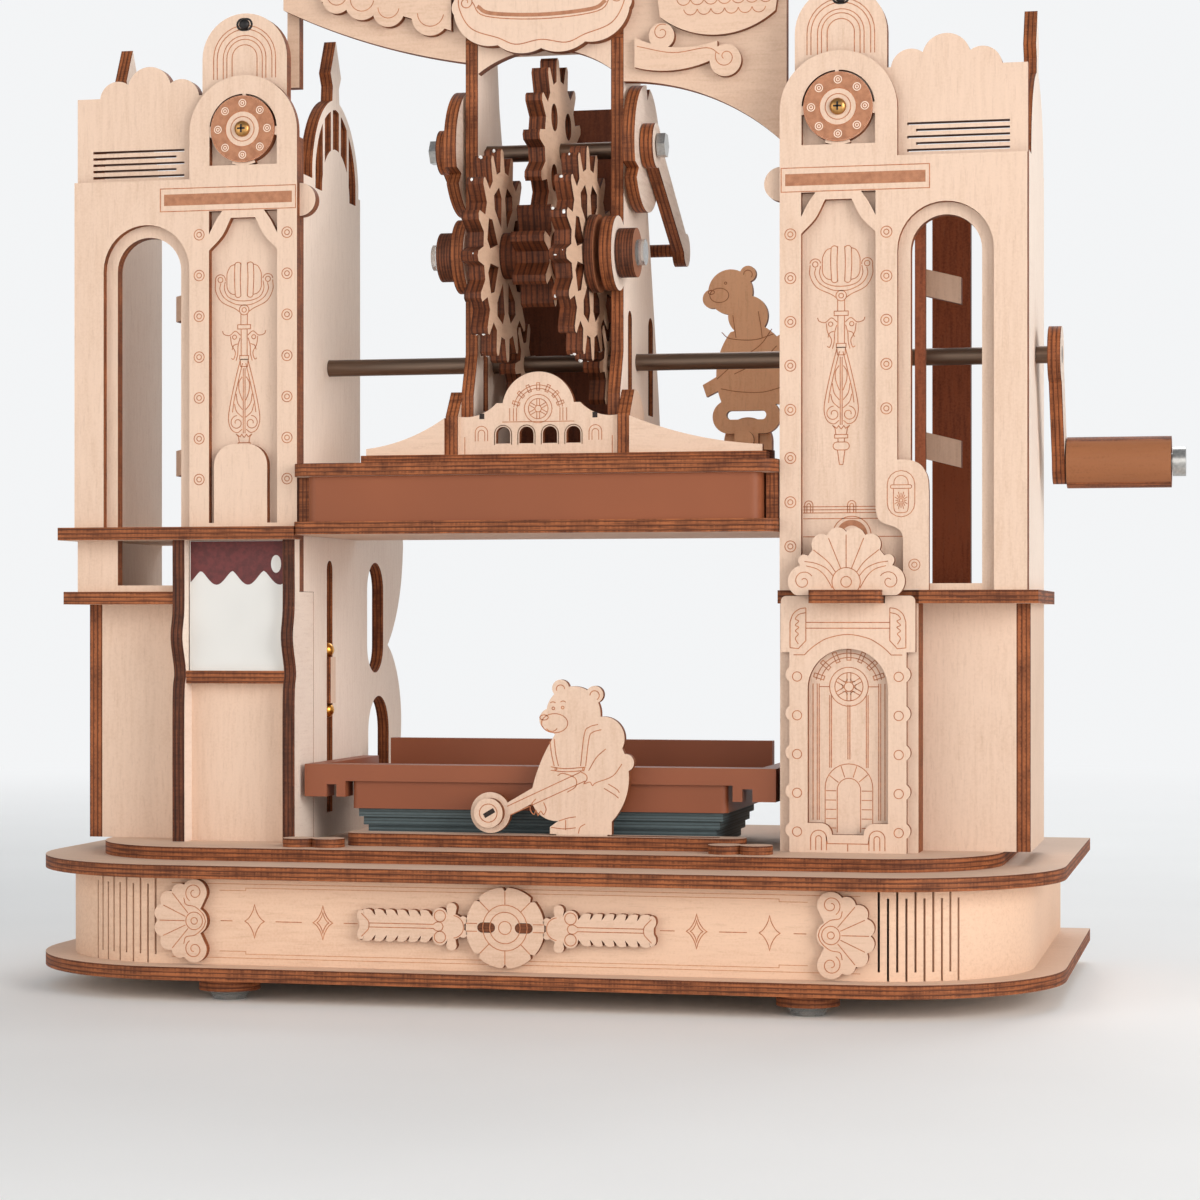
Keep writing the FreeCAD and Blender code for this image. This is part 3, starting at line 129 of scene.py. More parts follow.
def table_cloth():
    """Table top and backdrop in one sheet: flat to the rear, then a quarter circle up into a wall."""
    across = np.linspace(-3.0, 3.0, 13)
    turn = np.linspace(0.0, math.pi / 2.0, 17)
    run_y = np.concatenate([[-3.0, 0.6], 1.2 + 0.8 * np.sin(turn), [2.0]])
    run_z = np.concatenate([[0.0, 0.0], 0.8 - 0.8 * np.cos(turn), [3.0]])
    x = np.repeat(across[:, None], len(run_y), 1)
    points = np.stack([x, np.repeat(run_y[None], 13, 0), np.repeat(run_z[None], 13, 0)], -1).reshape(-1, 3)
    i, j = np.meshgrid(np.arange(12), np.arange(len(run_y) - 1), indexing="ij")
    corner = (i * len(run_y) + j).ravel()
    faces = np.stack([corner, corner + len(run_y), corner + len(run_y) + 1, corner + 1], 1)
    return sweep_surface("table_top", points, faces)


class Finish:
    """A node material under construction: each method adds one step and hands back its output."""

    def __init__(self, name):
        self.made = bpy.data.materials.new(name)
        self.made.use_nodes = True
        self.tree = self.made.node_tree
        self.tree.nodes.clear()
        self.shader = self.tree.nodes.new("ShaderNodeBsdfPrincipled")
        self.out = self.tree.nodes.new("ShaderNodeOutputMaterial")
        self.tree.links.new(self.shader.outputs[0], self.out.inputs[0])
        self.coordinates = self.tree.nodes.new("ShaderNodeTexCoord")

    def feed(self, value, socket):
        """A number or colour is set on the socket, and another step's output is linked to it."""
        if isinstance(value, bpy.types.NodeSocket):
            self.tree.links.new(value, socket)
        else:
            socket.default_value = value

    def sum(self, operation, *values):
        """One step of arithmetic."""
        node = self.tree.nodes.new("ShaderNodeMath")
        node.operation = operation
        for value, socket in zip(values, node.inputs):
            self.feed(value, socket)
        return node.outputs[0]

    def parts_of(self, vector):
        """X, Y and Z of a direction or a place."""
        node = self.tree.nodes.new("ShaderNodeSeparateXYZ")
        self.tree.links.new(vector, node.inputs[0])
        return node.outputs

    def noise(self, stretch, detail=3.0, scale=1.0, vector=None):
        """Noise between 0 and 1 on Object coordinates, drawn out by the three factors of stretch."""
        place = self.tree.nodes.new("ShaderNodeMapping")
        place.inputs["Scale"].default_value = stretch
        self.tree.links.new(vector or self.coordinates.outputs["Object"], place.inputs[0])
        node = self.tree.nodes.new("ShaderNodeTexNoise")
        node.inputs["Scale"].default_value = scale
        node.inputs["Detail"].default_value = detail
        self.tree.links.new(place.outputs[0], node.inputs["Vector"])
        return node.outputs[0]

    def ramp(self, value, stops):
        """Colour chosen along stops of (place, colour)."""
        node = self.tree.nodes.new("ShaderNodeValToRGB")
        while len(node.color_ramp.elements) < len(stops):
            node.color_ramp.elements.new(0.5)
        for element, (place, colour) in zip(node.color_ramp.elements, stops):
            element.position = place
            element.color = colour
        self.feed(value, node.inputs[0])
        return node.outputs[0]

    def blend(self, share, first, second):
        """Mix of two colours."""
        node = self.tree.nodes.new("ShaderNodeMix")
        node.data_type = "RGBA"
        self.feed(share, node.inputs[0])
        self.feed(first, node.inputs[6])
        self.feed(second, node.inputs[7])
        return node.outputs[2]

    def relief(self, height, strength, distance=0.0002):
        """Bump of the surface from a height."""
        node = self.tree.nodes.new("ShaderNodeBump")
        node.inputs["Strength"].default_value = strength
        node.inputs["Distance"].default_value = distance
        self.tree.links.new(height, node.inputs["Height"])
        self.tree.links.new(node.outputs[0], self.shader.inputs["Normal"])


def dress(nodes, finish):
    """Gives one finish to several pieces of the frame."""
    for node in nodes:
        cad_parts[node].material_slots[0].material = finish


def pale_table():
    """Matt off-white with a barely visible mottle, which passes into the plain white of the backdrop with
    the distance from the press: share = smooth step of the distance between 0.3 and 1.1 metres."""
    f = Finish("table_white")
    mottle = f.noise((6.0, 6.0, 6.0))
    plain = f.ramp(mottle, [(0.3, (0.89, 0.89, 0.88, 1.0)), (0.7, (0.94, 0.94, 0.93, 1.0))])
    f.feed(plain, f.shader.inputs["Base Color"])
    f.shader.inputs["Roughness"].default_value = 0.75
    place = f.parts_of(f.coordinates.outputs["Object"])
    out = f.sum("SQRT", f.sum("ADD", f.sum("MULTIPLY", place[0], place[0]), f.sum("MULTIPLY", place[1], place[1])))
    away = f.tree.nodes.new("ShaderNodeMapRange")
    away.interpolation_type = "SMOOTHSTEP"
    away.inputs["From Min"].default_value = 0.3
    away.inputs["From Max"].default_value = 1.1
    f.feed(out, away.inputs["Value"])
    ray = f.tree.nodes.new("ShaderNodeLightPath")
    looked_at = f.sum("MAXIMUM", f.sum("MAXIMUM", ray.outputs["Is Camera Ray"], ray.outputs["Is Glossy Ray"]),
                      ray.outputs["Is Transmission Ray"])
    white = f.tree.nodes.new("ShaderNodeEmission")
    white.inputs["Color"].default_value = (0.90, 0.91, 0.92, 1.0)
    mix = f.tree.nodes.new("ShaderNodeMixShader")
    f.feed(f.sum("MULTIPLY", away.outputs["Result"], looked_at), mix.inputs[0])
    f.feed(f.shader.outputs[0], mix.inputs[1])
    f.feed(white.outputs[0], mix.inputs[2])
    f.feed(mix.outputs[0], f.out.inputs[0])
    return f.made


table = table_cloth()
table.data.materials.append(pale_table())


# Plywood, cut by laser: nearly every piece of the press. The faces are pale sanded basswood with a fine
# grain, and the beam leaves the edges scorched dark brown, with the lighter plies showing as stripes.
FACE_PALE = (220, 191, 169)
FACE_WARM = (210, 179, 155)
EDGE_DARK = (72, 33, 15)
EDGE_PLY = (162, 94, 54)


def plywood(name, sheets, grain, thick=3.0, face=FACE_PALE, shade=FACE_WARM, scorch=EDGE_DARK, ply=EDGE_PLY):
    """Plywood whose boards lie square to an axis. sheets is that axis, 0 to 2, or 3 for a board bent upright,
    or a list of (axis, side axis, place): the last entry whose place lies under the point's own holds.
    An edge is where the surface turns away from the axis: 1 - |normal along the axis|. The plies are bands
    of the distance from the board's face, in shares of its thickness."""
    f = Finish(name)
    normal = f.parts_of(f.coordinates.outputs["Normal"])
    place = f.parts_of(f.coordinates.outputs["Object"])
    away = [f.sum("ABSOLUTE", normal[i]) for i in range(3)]
    offset = f.sum("ABSOLUTE", f.sum("SUBTRACT", place[0], MIDDLE))
    depth = [offset, place[1], place[2]]

    def board(axis):
        if axis == 3:
            flat = f.sum("SUBTRACT", 1.0, away[2])
            return flat, f.sum("ADD", place[1], offset)
        return away[axis], depth[axis]

    plan = [(sheets, 0, -1.0)] if isinstance(sheets, int) else sheets
    flat, along = board(plan[0][0])
    for axis, side_axis, level in plan[1:]:
        past = f.sum("GREATER_THAN", depth[side_axis], level)
        next_flat, next_along = board(axis)
        flat = f.sum("ADD", f.sum("MULTIPLY", flat, f.sum("SUBTRACT", 1.0, past)),
                     f.sum("MULTIPLY", next_flat, past))
        along = f.sum("ADD", f.sum("MULTIPLY", along, f.sum("SUBTRACT", 1.0, past)),
                      f.sum("MULTIPLY", next_along, past))
    edge = f.sum("LESS_THAN", flat, 0.6)
    long_way = [(110.0, 1100.0, 1100.0), (1100.0, 110.0, 1100.0), (1100.0, 1100.0, 110.0)][grain]
    fibre = f.noise(long_way, 4.0)
    cloud = f.noise((22.0, 22.0, 22.0), 2.0)
    pores = f.noise(tuple(2.2 * k for k in long_way), 2.0)
    fleck = f.noise((1900.0, 1900.0, 1900.0), 2.0)
    tone = f.sum("ADD", f.sum("MULTIPLY", fibre, 0.4), f.sum("ADD", f.sum("MULTIPLY", cloud, 0.3),
                                                             f.sum("MULTIPLY", fleck, 0.3)))
    pale = linear(*face)
    warm = linear(*shade)
    skin = f.ramp(tone, [(0.34, warm), (0.52, pale), (0.70, tuple(min(1.0, 1.05 * c) for c in pale))])
    skin = f.blend(f.sum("MULTIPLY", f.sum("GREATER_THAN", pores, 0.64), 0.10), skin, linear(150, 110, 84))
    layers = f.sum("FRACT", f.sum("MULTIPLY", along, 1000.0 / thick))
    comb = f.noise(tuple(300.0 if k == plan[0][0] else 1900.0 for k in range(3)), 3.0)
    layer = f.noise(tuple(2400.0 if k == plan[0][0] else 130.0 for k in range(3)), 3.0)
    ply_tone = f.sum("ADD", layers, f.sum("MULTIPLY", f.sum("SUBTRACT", comb, 0.5), 0.10))
    dark = linear(*scorch)
    light = linear(*ply)
    burnt = f.ramp(ply_tone, [(0.0, dark), (0.10, light), (0.26, light), (0.34, dark), (0.42, light),
                              (0.58, light), (0.66, dark), (0.74, light), (0.90, light), (1.0, dark)])
    soot = f.noise((160.0, 160.0, 160.0), 3.0)
    char = f.sum("ADD", f.sum("MULTIPLY", layer, 0.5), f.sum("ADD", f.sum("MULTIPLY", comb, 0.25),
                                                             f.sum("MULTIPLY", soot, 0.25)))
    burnt = f.blend(f.ramp(char, [(0.40, (0.0, 0.0, 0.0, 1.0)), (0.62, (0.85, 0.85, 0.85, 1.0))]), burnt, dark)
    f.feed(f.blend(edge, skin, burnt), f.shader.inputs["Base Color"])
    f.feed(f.sum("ADD", 0.56, f.sum("MULTIPLY", fibre, 0.16)), f.shader.inputs["Roughness"])
    f.shader.inputs["Specular IOR Level"].default_value = 0.28
    f.relief(f.sum("ADD", fibre, f.sum("MULTIPLY", pores, 0.5)), 0.16)
    return f.made


upright_front = plywood("ply_facing_front", 1, 2)
upright_front_thin = plywood("ply_facing_front_thin", 1, 2, thick=2.0)
lying_front = plywood("ply_facing_front_long", 1, 0, face=(216, 184, 160), shade=(204, 170, 145))
# Boards that face sideways take a paler copy of the plywood: painted light, for the lamp from the right that falls on
# them.
side_wall_painted_light = plywood("ply_side_wall", 0, 2, face=(236, 218, 203), shade=(228, 207, 191))
lying = plywood("ply_lying", 2, 0)
bent = plywood("ply_bent_fascia", 3, 0, face=(225, 190, 163), shade=(214, 176, 148))

dress(["bottom_plate", "moulding_plate", "deck_plate", "bear_track", "ledges", "platen_top", "foot_discs",
       "deck_lobes"], lying)
dress(["fascia"], bent)
dress(["pedestal_door", "column_frames", "window_bands", "lantern_plates", "shell_crests", "facade",
       "dial_medallions"], upright_front_thin)
dress(["pedestal_boards", "wing_fronts", "sign_plate"], upright_front)
dress(["fascia_ornaments", "beam_ornaments", "arch_beam_left", "arch_beam_right"], lying_front)
dress(["wing_inner_walls", "wing_outer_walls", "rear_scrolls", "tower_plates"], side_wall_painted_light)

bay_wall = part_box("wing_outer_walls")[1].x - MIDDLE - 3.2 * MM
dress(["lower_bays"], plywood("ply_lower_bay", [(1, 0, -1.0), (0, 0, bay_wall)], 2))
shelf_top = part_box("paper_card")[0].z
cabinet_low, cabinet_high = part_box("cabinet_boards")
cabinet_inner = MIDDLE - cabinet_high.x
dress(["cabinet_boards"], plywood("ply_cabinet", [(0, 0, -1.0), (1, 0, cabinet_inner + 3.1 * MM),
                                                  (0, 0, MIDDLE - cabinet_low.x - 3.1 * MM)], 2))
tie_low, tie_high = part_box("tower_ties")
dress(["tower_ties"], plywood("ply_tower_ties", [(1, 0, -1.0), (0, 0, tie_high.x - MIDDLE - 3.1 * MM),
                                                 (2, 2, tie_high.z - 3.1 * MM)], 2))
base_low, base_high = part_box("facade_base")
dress(["facade_base"], plywood("ply_facade_base", [(2, 2, -1.0), (1, 2, base_low.z + 2.1 * MM)], 0, thick=2.0))
housing_low, housing_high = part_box("platen_frame")
dress(["platen_frame"], plywood("ply_platen_frame", [(2, 2, -1.0), (0, 2, housing_low.z + 3.1 * MM)], 0))
rear_low, rear_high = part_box("rear_bear")
dress(["front_bear"], upright_front_thin)
# The rear bear and its bracket take their own lighter, more orange copy of the plywood: painted light against the
# shadow the right wing casts on them.
dress(["rear_bracket", "rear_bear"], plywood("ply_rear_bear_painted_light", 1, 2, thick=2.0, face=(238, 188, 148),
                                             shade=(228, 172, 130)))


# Wheels of the gear train and the crank: the same plywood, two thin layers glued together, with edges
# darker than the frame's boards.
gear_ply = plywood("ply_gear_wheels", 0, 1, thick=4.0, face=(216, 182, 155), shade=(200, 162, 134),
                   scorch=(52, 24, 12), ply=(124, 66, 36))
dress(["ornate_gears", "middle_pinion", "lobed_gear", "shaft_pinions"], gear_ply)
dress(["crank_wheels", "connecting_rods", "crank_arm"],
      plywood("ply_crank_wheels", 0, 1, face=(224, 205, 190), shade=(206, 182, 164)))
dress(["axle_discs"], plywood("ply_axle_discs", 0, 1, thick=2.0, face=(150, 96, 66), shade=(128, 78, 50),
                              scorch=(44, 22, 12), ply=(120, 66, 40)))
dress(["platen_discs"], plywood("ply_platen_discs", 2, 0, thick=2.0, face=(150, 98, 66), shade=(130, 80, 52),
                                scorch=(40, 20, 10), ply=(110, 60, 36)))
dress(["crank_knob"], plywood("ply_knob", 1, 0, thick=2.0, face=(150, 96, 62), shade=(130, 80, 50)))
dress(["follower_blocks"], plywood("ply_followers", 0, 2))


# Moulded plastic: the brown tray and block of the bed and the block of the platen, with a soft sheen.
def moulded(name, colour, rough=0.42, grain=2400.0):
    """Moulded plastic: one colour with a slow cloud in it and a fine leathery skin."""
    f = Finish(name)
    cloud = f.noise((30.0, 30.0, 30.0), 2.0)
    skin = f.noise((grain, grain, grain), 1.0)
    base = linear(*colour)
    deep = tuple([0.86 * c for c in base[:3]] + [1.0])
    f.feed(f.ramp(cloud, [(0.3, deep), (0.7, base)]), f.shader.inputs["Base Color"])
    f.feed(f.sum("ADD", rough, f.sum("MULTIPLY", cloud, 0.12)), f.shader.inputs["Roughness"])
    f.shader.inputs["Specular IOR Level"].default_value = 0.3
    f.relief(skin, 0.06, 0.00005)
    return f.made


dress(["bed_tray"], moulded("tray_brown", (146, 84, 56)))
dress(["bed_block"], moulded("bed_block_brown", (142, 80, 52)))
dress(["platen_block"], moulded("platen_brown", (142, 80, 50)))
dress(["shaft_bushes"], moulded("bush_white", (214, 208, 200)))


# Steel shafts, bolts and brass pins.
def metal(name, colour, rough, brushed):
    """Drawn metal: fine rings or lines along the bar, from noise drawn out along one axis."""
    f = Finish(name)
    lines = f.noise(brushed, 3.0)
    base = linear(*colour)
    dull = tuple([0.7 * c for c in base[:3]] + [1.0])
    f.feed(f.ramp(lines, [(0.3, dull), (0.7, base)]), f.shader.inputs["Base Color"])
    f.shader.inputs["Metallic"].default_value = 1.0
    f.feed(f.sum("ADD", rough, f.sum("MULTIPLY", lines, 0.15)), f.shader.inputs["Roughness"])
    f.relief(lines, 0.08, 0.00005)
    return f.made


dress(["main_shaft", "front_axle", "crank_axle"], metal("shaft_steel", (124, 104, 90), 0.36,
                                                        (40.0, 1500.0, 1500.0)))
dress(["knob_pin", "crank_pins"], metal("bolt_steel", (196, 194, 190), 0.24, (1500.0, 1500.0, 1500.0)))
dress(["follower_pins"], metal("pin_brass", (206, 150, 74), 0.28, (1500.0, 1500.0, 1500.0)))


# Sheets stacked under the bed, and the printed card in the cupboard.
def card_stock(name, colour, edge_colour):
    """Card: one colour, darker by a stripe at each sheet's edge, with a fibrous bump."""
    f = Finish(name)
    fibre = f.noise((700.0, 700.0, 1400.0), 3.0)
    layer = f.sum("FRACT", f.sum("MULTIPLY", f.parts_of(f.coordinates.outputs["Object"])[2], 1350.0))
    f.feed(f.blend(f.sum("MULTIPLY", f.sum("LESS_THAN", layer, 0.35), 0.6),
                   f.ramp(fibre, [(0.3, linear(*[int(0.9 * c) for c in colour])), (0.7, linear(*colour))]),
                   linear(*edge_colour)), f.shader.inputs["Base Color"])
    f.feed(f.sum("ADD", 0.6, f.sum("MULTIPLY", fibre, 0.2)), f.shader.inputs["Roughness"])
    f.relief(fibre, 0.15, 0.0001)
    return f.made


dress(["bed_sheets"], card_stock("sheets_blue_grey", (84, 98, 100), (34, 40, 42)))
dress(["paper_card"], card_stock("card_white", (214, 213, 208), (214, 213, 208)))


# Clear plastic bumpers under the feet, and the clear caps on the gear axle's ends.
def clear(name, tint):
    """Clear plastic: nearly all the light passes, with a soft cloud inside."""
    f = Finish(name)
    cloud = f.noise((200.0, 200.0, 200.0), 2.0)
    f.feed(f.ramp(cloud, [(0.3, linear(*tint)), (0.7, (0.95, 0.95, 0.94, 1.0))]), f.shader.inputs["Base Color"])
    f.feed(f.sum("ADD", 0.08, f.sum("MULTIPLY", cloud, 0.12)), f.shader.inputs["Roughness"])
    f.shader.inputs["Transmission Weight"].default_value = 0.8
    f.shader.inputs["IOR"].default_value = 1.46
    f.relief(cloud, 0.1, 0.0001)
    return f.made


dress(["clear_bumpers", "axle_caps"], clear("clear_plastic", (226, 224, 218)))


# Drawings burnt into the fascia of the base by a weak beam: border lines, dashes, diamonds, the veins of
# the two leaf arms, the rosette and the palmettes. Every line is a hair of scorched wood.
def line(*knots):
    """Open run of straight lines through its knots, in millimetres across and up."""
    return np.array(knots, float), False


def loop(*knots):
    """Closed run of straight lines."""
    return np.array(knots, float), True


def arc(across, up, radius, start, end, steps=14, high=None):
    """Part of a ring: centre + radius times (cos a, sin a), with a from start to end in degrees. high is
    the upright radius of an oval."""
    a = np.radians(np.linspace(start, end, steps + 1))
    return np.stack([across + radius * np.cos(a), up + (high or radius) * np.sin(a)], 1), False


def ring(across, up, radius, steps=26, high=None):
    """Whole ring, without its doubled last point."""
    return arc(across, up, radius, 0.0, 360.0, steps, high)[0][:-1], True


def arch(across, half, low, spring, steps=16):
    """Up one side, over half a ring and down the other side."""
    over = arc(across, spring, half, 180.0, 0.0, steps)[0]
    return np.vstack([[across - half, low], over, [across + half, low]]), False


def curl(across, up, outer, inner, start, turns, steps=30):
    """Spiral: the radius falls evenly from outer to inner while the angle turns from start."""
    share = np.linspace(0.0, 1.0, steps + 1)
    a = np.radians(start) + 2.0 * math.pi * turns * share
    radius = outer + (inner - outer) * share
    return np.stack([across + radius * np.cos(a), up + radius * np.sin(a)], 1), False


def smooth(*knots, closed=False, steps=6):
    """Curve through its knots: each run is the cubic that leaves and meets a knot along the line between
    that knot's two neighbours."""
    p = np.array(knots, float)
    if closed:
        p = np.vstack([p[-1], p, p[0], p[1]])
    else:
        p = np.vstack([2.0 * p[0] - p[1], p, 2.0 * p[-1] - p[-2]])
    t = np.linspace(0.0, 1.0, steps, endpoint=False)[None, :, None]
    k0, k1, k2, k3 = (p[i:len(p) - 3 + i, None, :] for i in range(4))
    run = 0.5 * (2.0 * k1 + (k2 - k0) * t + (2.0 * k0 - 5.0 * k1 + 4.0 * k2 - k3) * t ** 2
                 + (3.0 * k1 - k0 - 3.0 * k2 + k3) * t ** 3)
    run = run.reshape(-1, 2)
    return (run, True) if closed else (np.vstack([run, p[-2]]), False)


def flipped(strokes):
    """The same strokes on the other side of the press."""
    return [(points * (-1.0, 1.0), closed) for points, closed in strokes]


def shifted(strokes, across, up):
    """The same strokes moved."""
    return [(points + (across, up), closed) for points, closed in strokes]


def strip(points, closed, width, low, high):
    """Four corner lines carried along a flat run: half the width to each side, along the mean of the two
    neighbouring runs' normals, at the depths low and high."""
    before = np.roll(points, 1, 0)
    after = np.roll(points, -1, 0)
    if not closed:
        before[0] = 2.0 * points[0] - points[1]
        after[-1] = 2.0 * points[-1] - points[-2]
    into = points - before
    out = after - points
    into = into / np.maximum(np.linalg.norm(into, axis=1, keepdims=True), 1e-9)
    out = out / np.maximum(np.linalg.norm(out, axis=1, keepdims=True), 1e-9)
    across = np.stack([-(into + out)[:, 1], (into + out)[:, 0]], 1)
    across = across / np.maximum(np.linalg.norm(across, axis=1, keepdims=True), 1e-9)
    spread = np.sum(across * np.stack([-out[:, 1], out[:, 0]], 1), 1, keepdims=True)
    half = across * width / 2.0 / np.clip(spread, 0.45, 1.0)
    left = points + half
    right = points - half
    corners = np.stack([np.column_stack([left, np.full(len(points), high)]),
                        np.column_stack([right, np.full(len(points), high)]),
                        np.column_stack([right, np.full(len(points), low)]),
                        np.column_stack([left, np.full(len(points), low)])], 1)
    n = len(points)
    i, k = np.meshgrid(np.arange(n if closed else n - 1), np.arange(4), indexing="ij")
    j = (i + 1) % n
    faces = np.stack([4 * i + k, 4 * i + (k + 1) % 4, 4 * j + (k + 1) % 4, 4 * j + k], -1).reshape(-1, 4)
    if not closed:
        last = 4 * (n - 1)
        faces = np.vstack([faces, [0, 3, 2, 1], [last, last + 1, last + 2, last + 3]])
    return corners.reshape(-1, 3), faces


def burnt_line(name, colour, dark):
    """Scorched wood: brown with darker specks where the beam lingered."""
    f = Finish(name)
    speck = f.noise((900.0, 900.0, 900.0), 2.0)
    f.feed(f.ramp(speck, [(0.35, linear(*dark)), (0.65, linear(*colour))]), f.shader.inputs["Base Color"])
    f.feed(f.sum("ADD", 0.6, f.sum("MULTIPLY", speck, 0.2)), f.shader.inputs["Roughness"])
    f.relief(speck, 0.2, 0.00005)
    return f.made


def hatched(name, colour, dark):
    """Wood darkened by the beam in close parallel passes: fine level hatch lines over a mottle."""
    f = Finish(name)
    height = f.parts_of(f.coordinates.outputs["Object"])[2]
    passes = f.sum("FRACT", f.sum("MULTIPLY", height, 5200.0))
    speck = f.noise((700.0, 700.0, 700.0), 3.0)
    tone = f.sum("ADD", f.sum("MULTIPLY", passes, 0.35), f.sum("MULTIPLY", speck, 0.65))
    f.feed(f.ramp(tone, [(0.3, linear(*dark)), (0.65, linear(*colour))]), f.shader.inputs["Base Color"])
    f.feed(f.sum("ADD", 0.62, f.sum("MULTIPLY", speck, 0.15)), f.shader.inputs["Roughness"])
    f.relief(passes, 0.15, 0.00005)
    return f.made


scorched = burnt_line("scorched_line", (190, 122, 82), (160, 92, 56))
raster = hatched("raster_brown", (186, 129, 95), (144, 90, 60))


def engrave(name, strokes, face, body="frame", width=0.24, finish=None, lift=0.03):
    """One piece from many strokes on a face that looks to the front: across and up in millimetres from
    the middle plane and the table, at the depth of that face."""
    points = []
    faces = []
    count = 0
    for run, closed in strokes:
        corners, quads = strip(run, closed, width, 0.05, -lift)
        points.append(corners)
        faces.append(quads + count)
        count += len(corners)
    flat = np.vstack(points)
    place = np.stack([MIDDLE + flat[:, 0] * MM, face + flat[:, 2] * MM, flat[:, 1] * MM], 1)
    piece = sweep_surface(name, place, np.vstack(faces))
    piece.data.materials.append(finish or scorched)
    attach(piece, body)
    return piece


def face_of(node):
    """Depth of the front face of a piece of the frame."""
    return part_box(node)[0].y


fascia_low, fascia_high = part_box("fascia")
band = (fascia_low.z + fascia_high.z) / 2.0 / MM


def diamond(across, half, tall):
    """Four-pointed star: each side is a shallow hollow curve between two points."""
    a = np.radians(np.arange(32) * 360.0 / 32)
    radius = 1.0 / (np.abs(np.cos(a)) ** 0.72 + np.abs(np.sin(a)) ** 0.72) ** (1.0 / 0.72)
    return np.stack([across + half * radius * np.cos(a), band + tall * radius * np.sin(a)], 1), True


right_half = [line((34.7, band), (38.0, band)), line((47.9, band), (54.1, band)), line((64.4, band), (67.2, band)),
              diamond(42.9, 2.3, 3.8), diamond(42.9, 1.4, 2.4), diamond(59.1, 2.3, 3.8)]
borders = []
for side in (-1.0, 1.0):
    borders.append(line((0.0, band + side * 8.4), (79.0, band + side * 8.4)))
    borders.append(line((0.0, band + side * 7.5), (61.2, band + side * 7.5), (61.2, band + side * 6.9),
                        (67.5, band + side * 6.9)))
engrave("fascia_drawing", right_half + flipped(right_half), fascia_low.y, width=0.2)
faint = burnt_line("faint_line", (206, 152, 116), (188, 130, 94))
engrave("fascia_borders", borders + flipped(borders), fascia_low.y, width=0.16, finish=faint)

# Tabs that hold the rosette on the fascia: two rounded ends of dark plywood in its slots.
def pill(left, right, low, high, steps=8):
    """Closed outline of a bar with two round ends, on its short sides."""
    half = min(high - low, right - left) / 2.0
    turn = 0.0 if high - low < right - left else 90.0
    return np.vstack([arc(right - half, high - half, half, turn - 90.0, turn + 90.0, steps)[0],
                      arc(left + half, low + half, half, turn + 90.0, turn + 270.0, steps)[0]]), True


def cut_out(name, plates, near, far, finish, body="frame", lie=(0, 2, 1)):
    """Pieces cut from sheet between the places near and far. A plate is a closed outline, or a list of its
    outline and the holes in it, in millimetres from the middle plane, the fascia's face and the table. lie
    gives the axes of the outline's two ways and of the thickness."""
    upright = lie == (0, 2, 1)
    origin = np.array([MIDDLE, fascia_low.y, 0.0])
    points = []
    faces = []
    count = 0
    for plate in plates:
        runs = []
        for k, (run, _) in enumerate(plate if isinstance(plate, list) else [plate]):
            area = np.sum(run[:, 0] * np.roll(run[:, 1], -1) - np.roll(run[:, 0], -1) * run[:, 1])
            wanted = (k == 0) == upright
            runs.append(run if (area > 0) == wanted else run[::-1])
        flat = np.vstack(runs)
        n = len(flat)
        cells = np.array(tessellate_polygon([np.column_stack([run, 0.0 * run[:, 0]]).tolist() for run in runs]))
        first = flat[cells[:, 1]] - flat[cells[:, 0]]
        second = flat[cells[:, 2]] - flat[cells[:, 0]]
        wrong = (first[:, 0] * second[:, 1] - first[:, 1] * second[:, 0] > 0) != upright
        cells[wrong] = cells[wrong][:, ::-1]
        for depth in (near, far):
            place = np.zeros((n, 3))
            place[:, lie[0]] = origin[lie[0]] + flat[:, 0] * MM
            place[:, lie[1]] = origin[lie[1]] + flat[:, 1] * MM
            place[:, lie[2]] = depth
            points.append(place)
        i = np.arange(n)
        j = np.concatenate([np.roll(np.arange(len(run)), -1) + start
                            for run, start in zip(runs, np.cumsum([0] + [len(run) for run in runs[:-1]]))])
        walls = np.stack([i, n + i, n + j, j], 1)
        faces += (cells + count).tolist() + (cells[:, ::-1] + n + count).tolist() + (walls + count).tolist()
        count += 2 * n
    mesh = bpy.data.meshes.new(name)
    mesh.from_pydata(np.vstack(points).tolist(), [], faces)
    mesh.update()
    piece = bpy.data.objects.new(name, mesh)
    bpy.context.scene.collection.objects.link(piece)
    piece.data.materials.append(finish)
    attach(piece, body)
    return piece


tab_end = plywood("ply_tab_end", 2, 0, thick=0.9, face=(120, 66, 40), shade=(90, 48, 28), scorch=(70, 34, 18),
                  ply=(132, 76, 46))
ornament_face = face_of("fascia_ornaments")
tabs = [pill(2.35, 6.25, band - 1.05, band + 1.05)]
cut_out("rosette_tabs", tabs + flipped(tabs), ornament_face + 0.2 * MM, ornament_face + 1.9 * MM, tab_end)


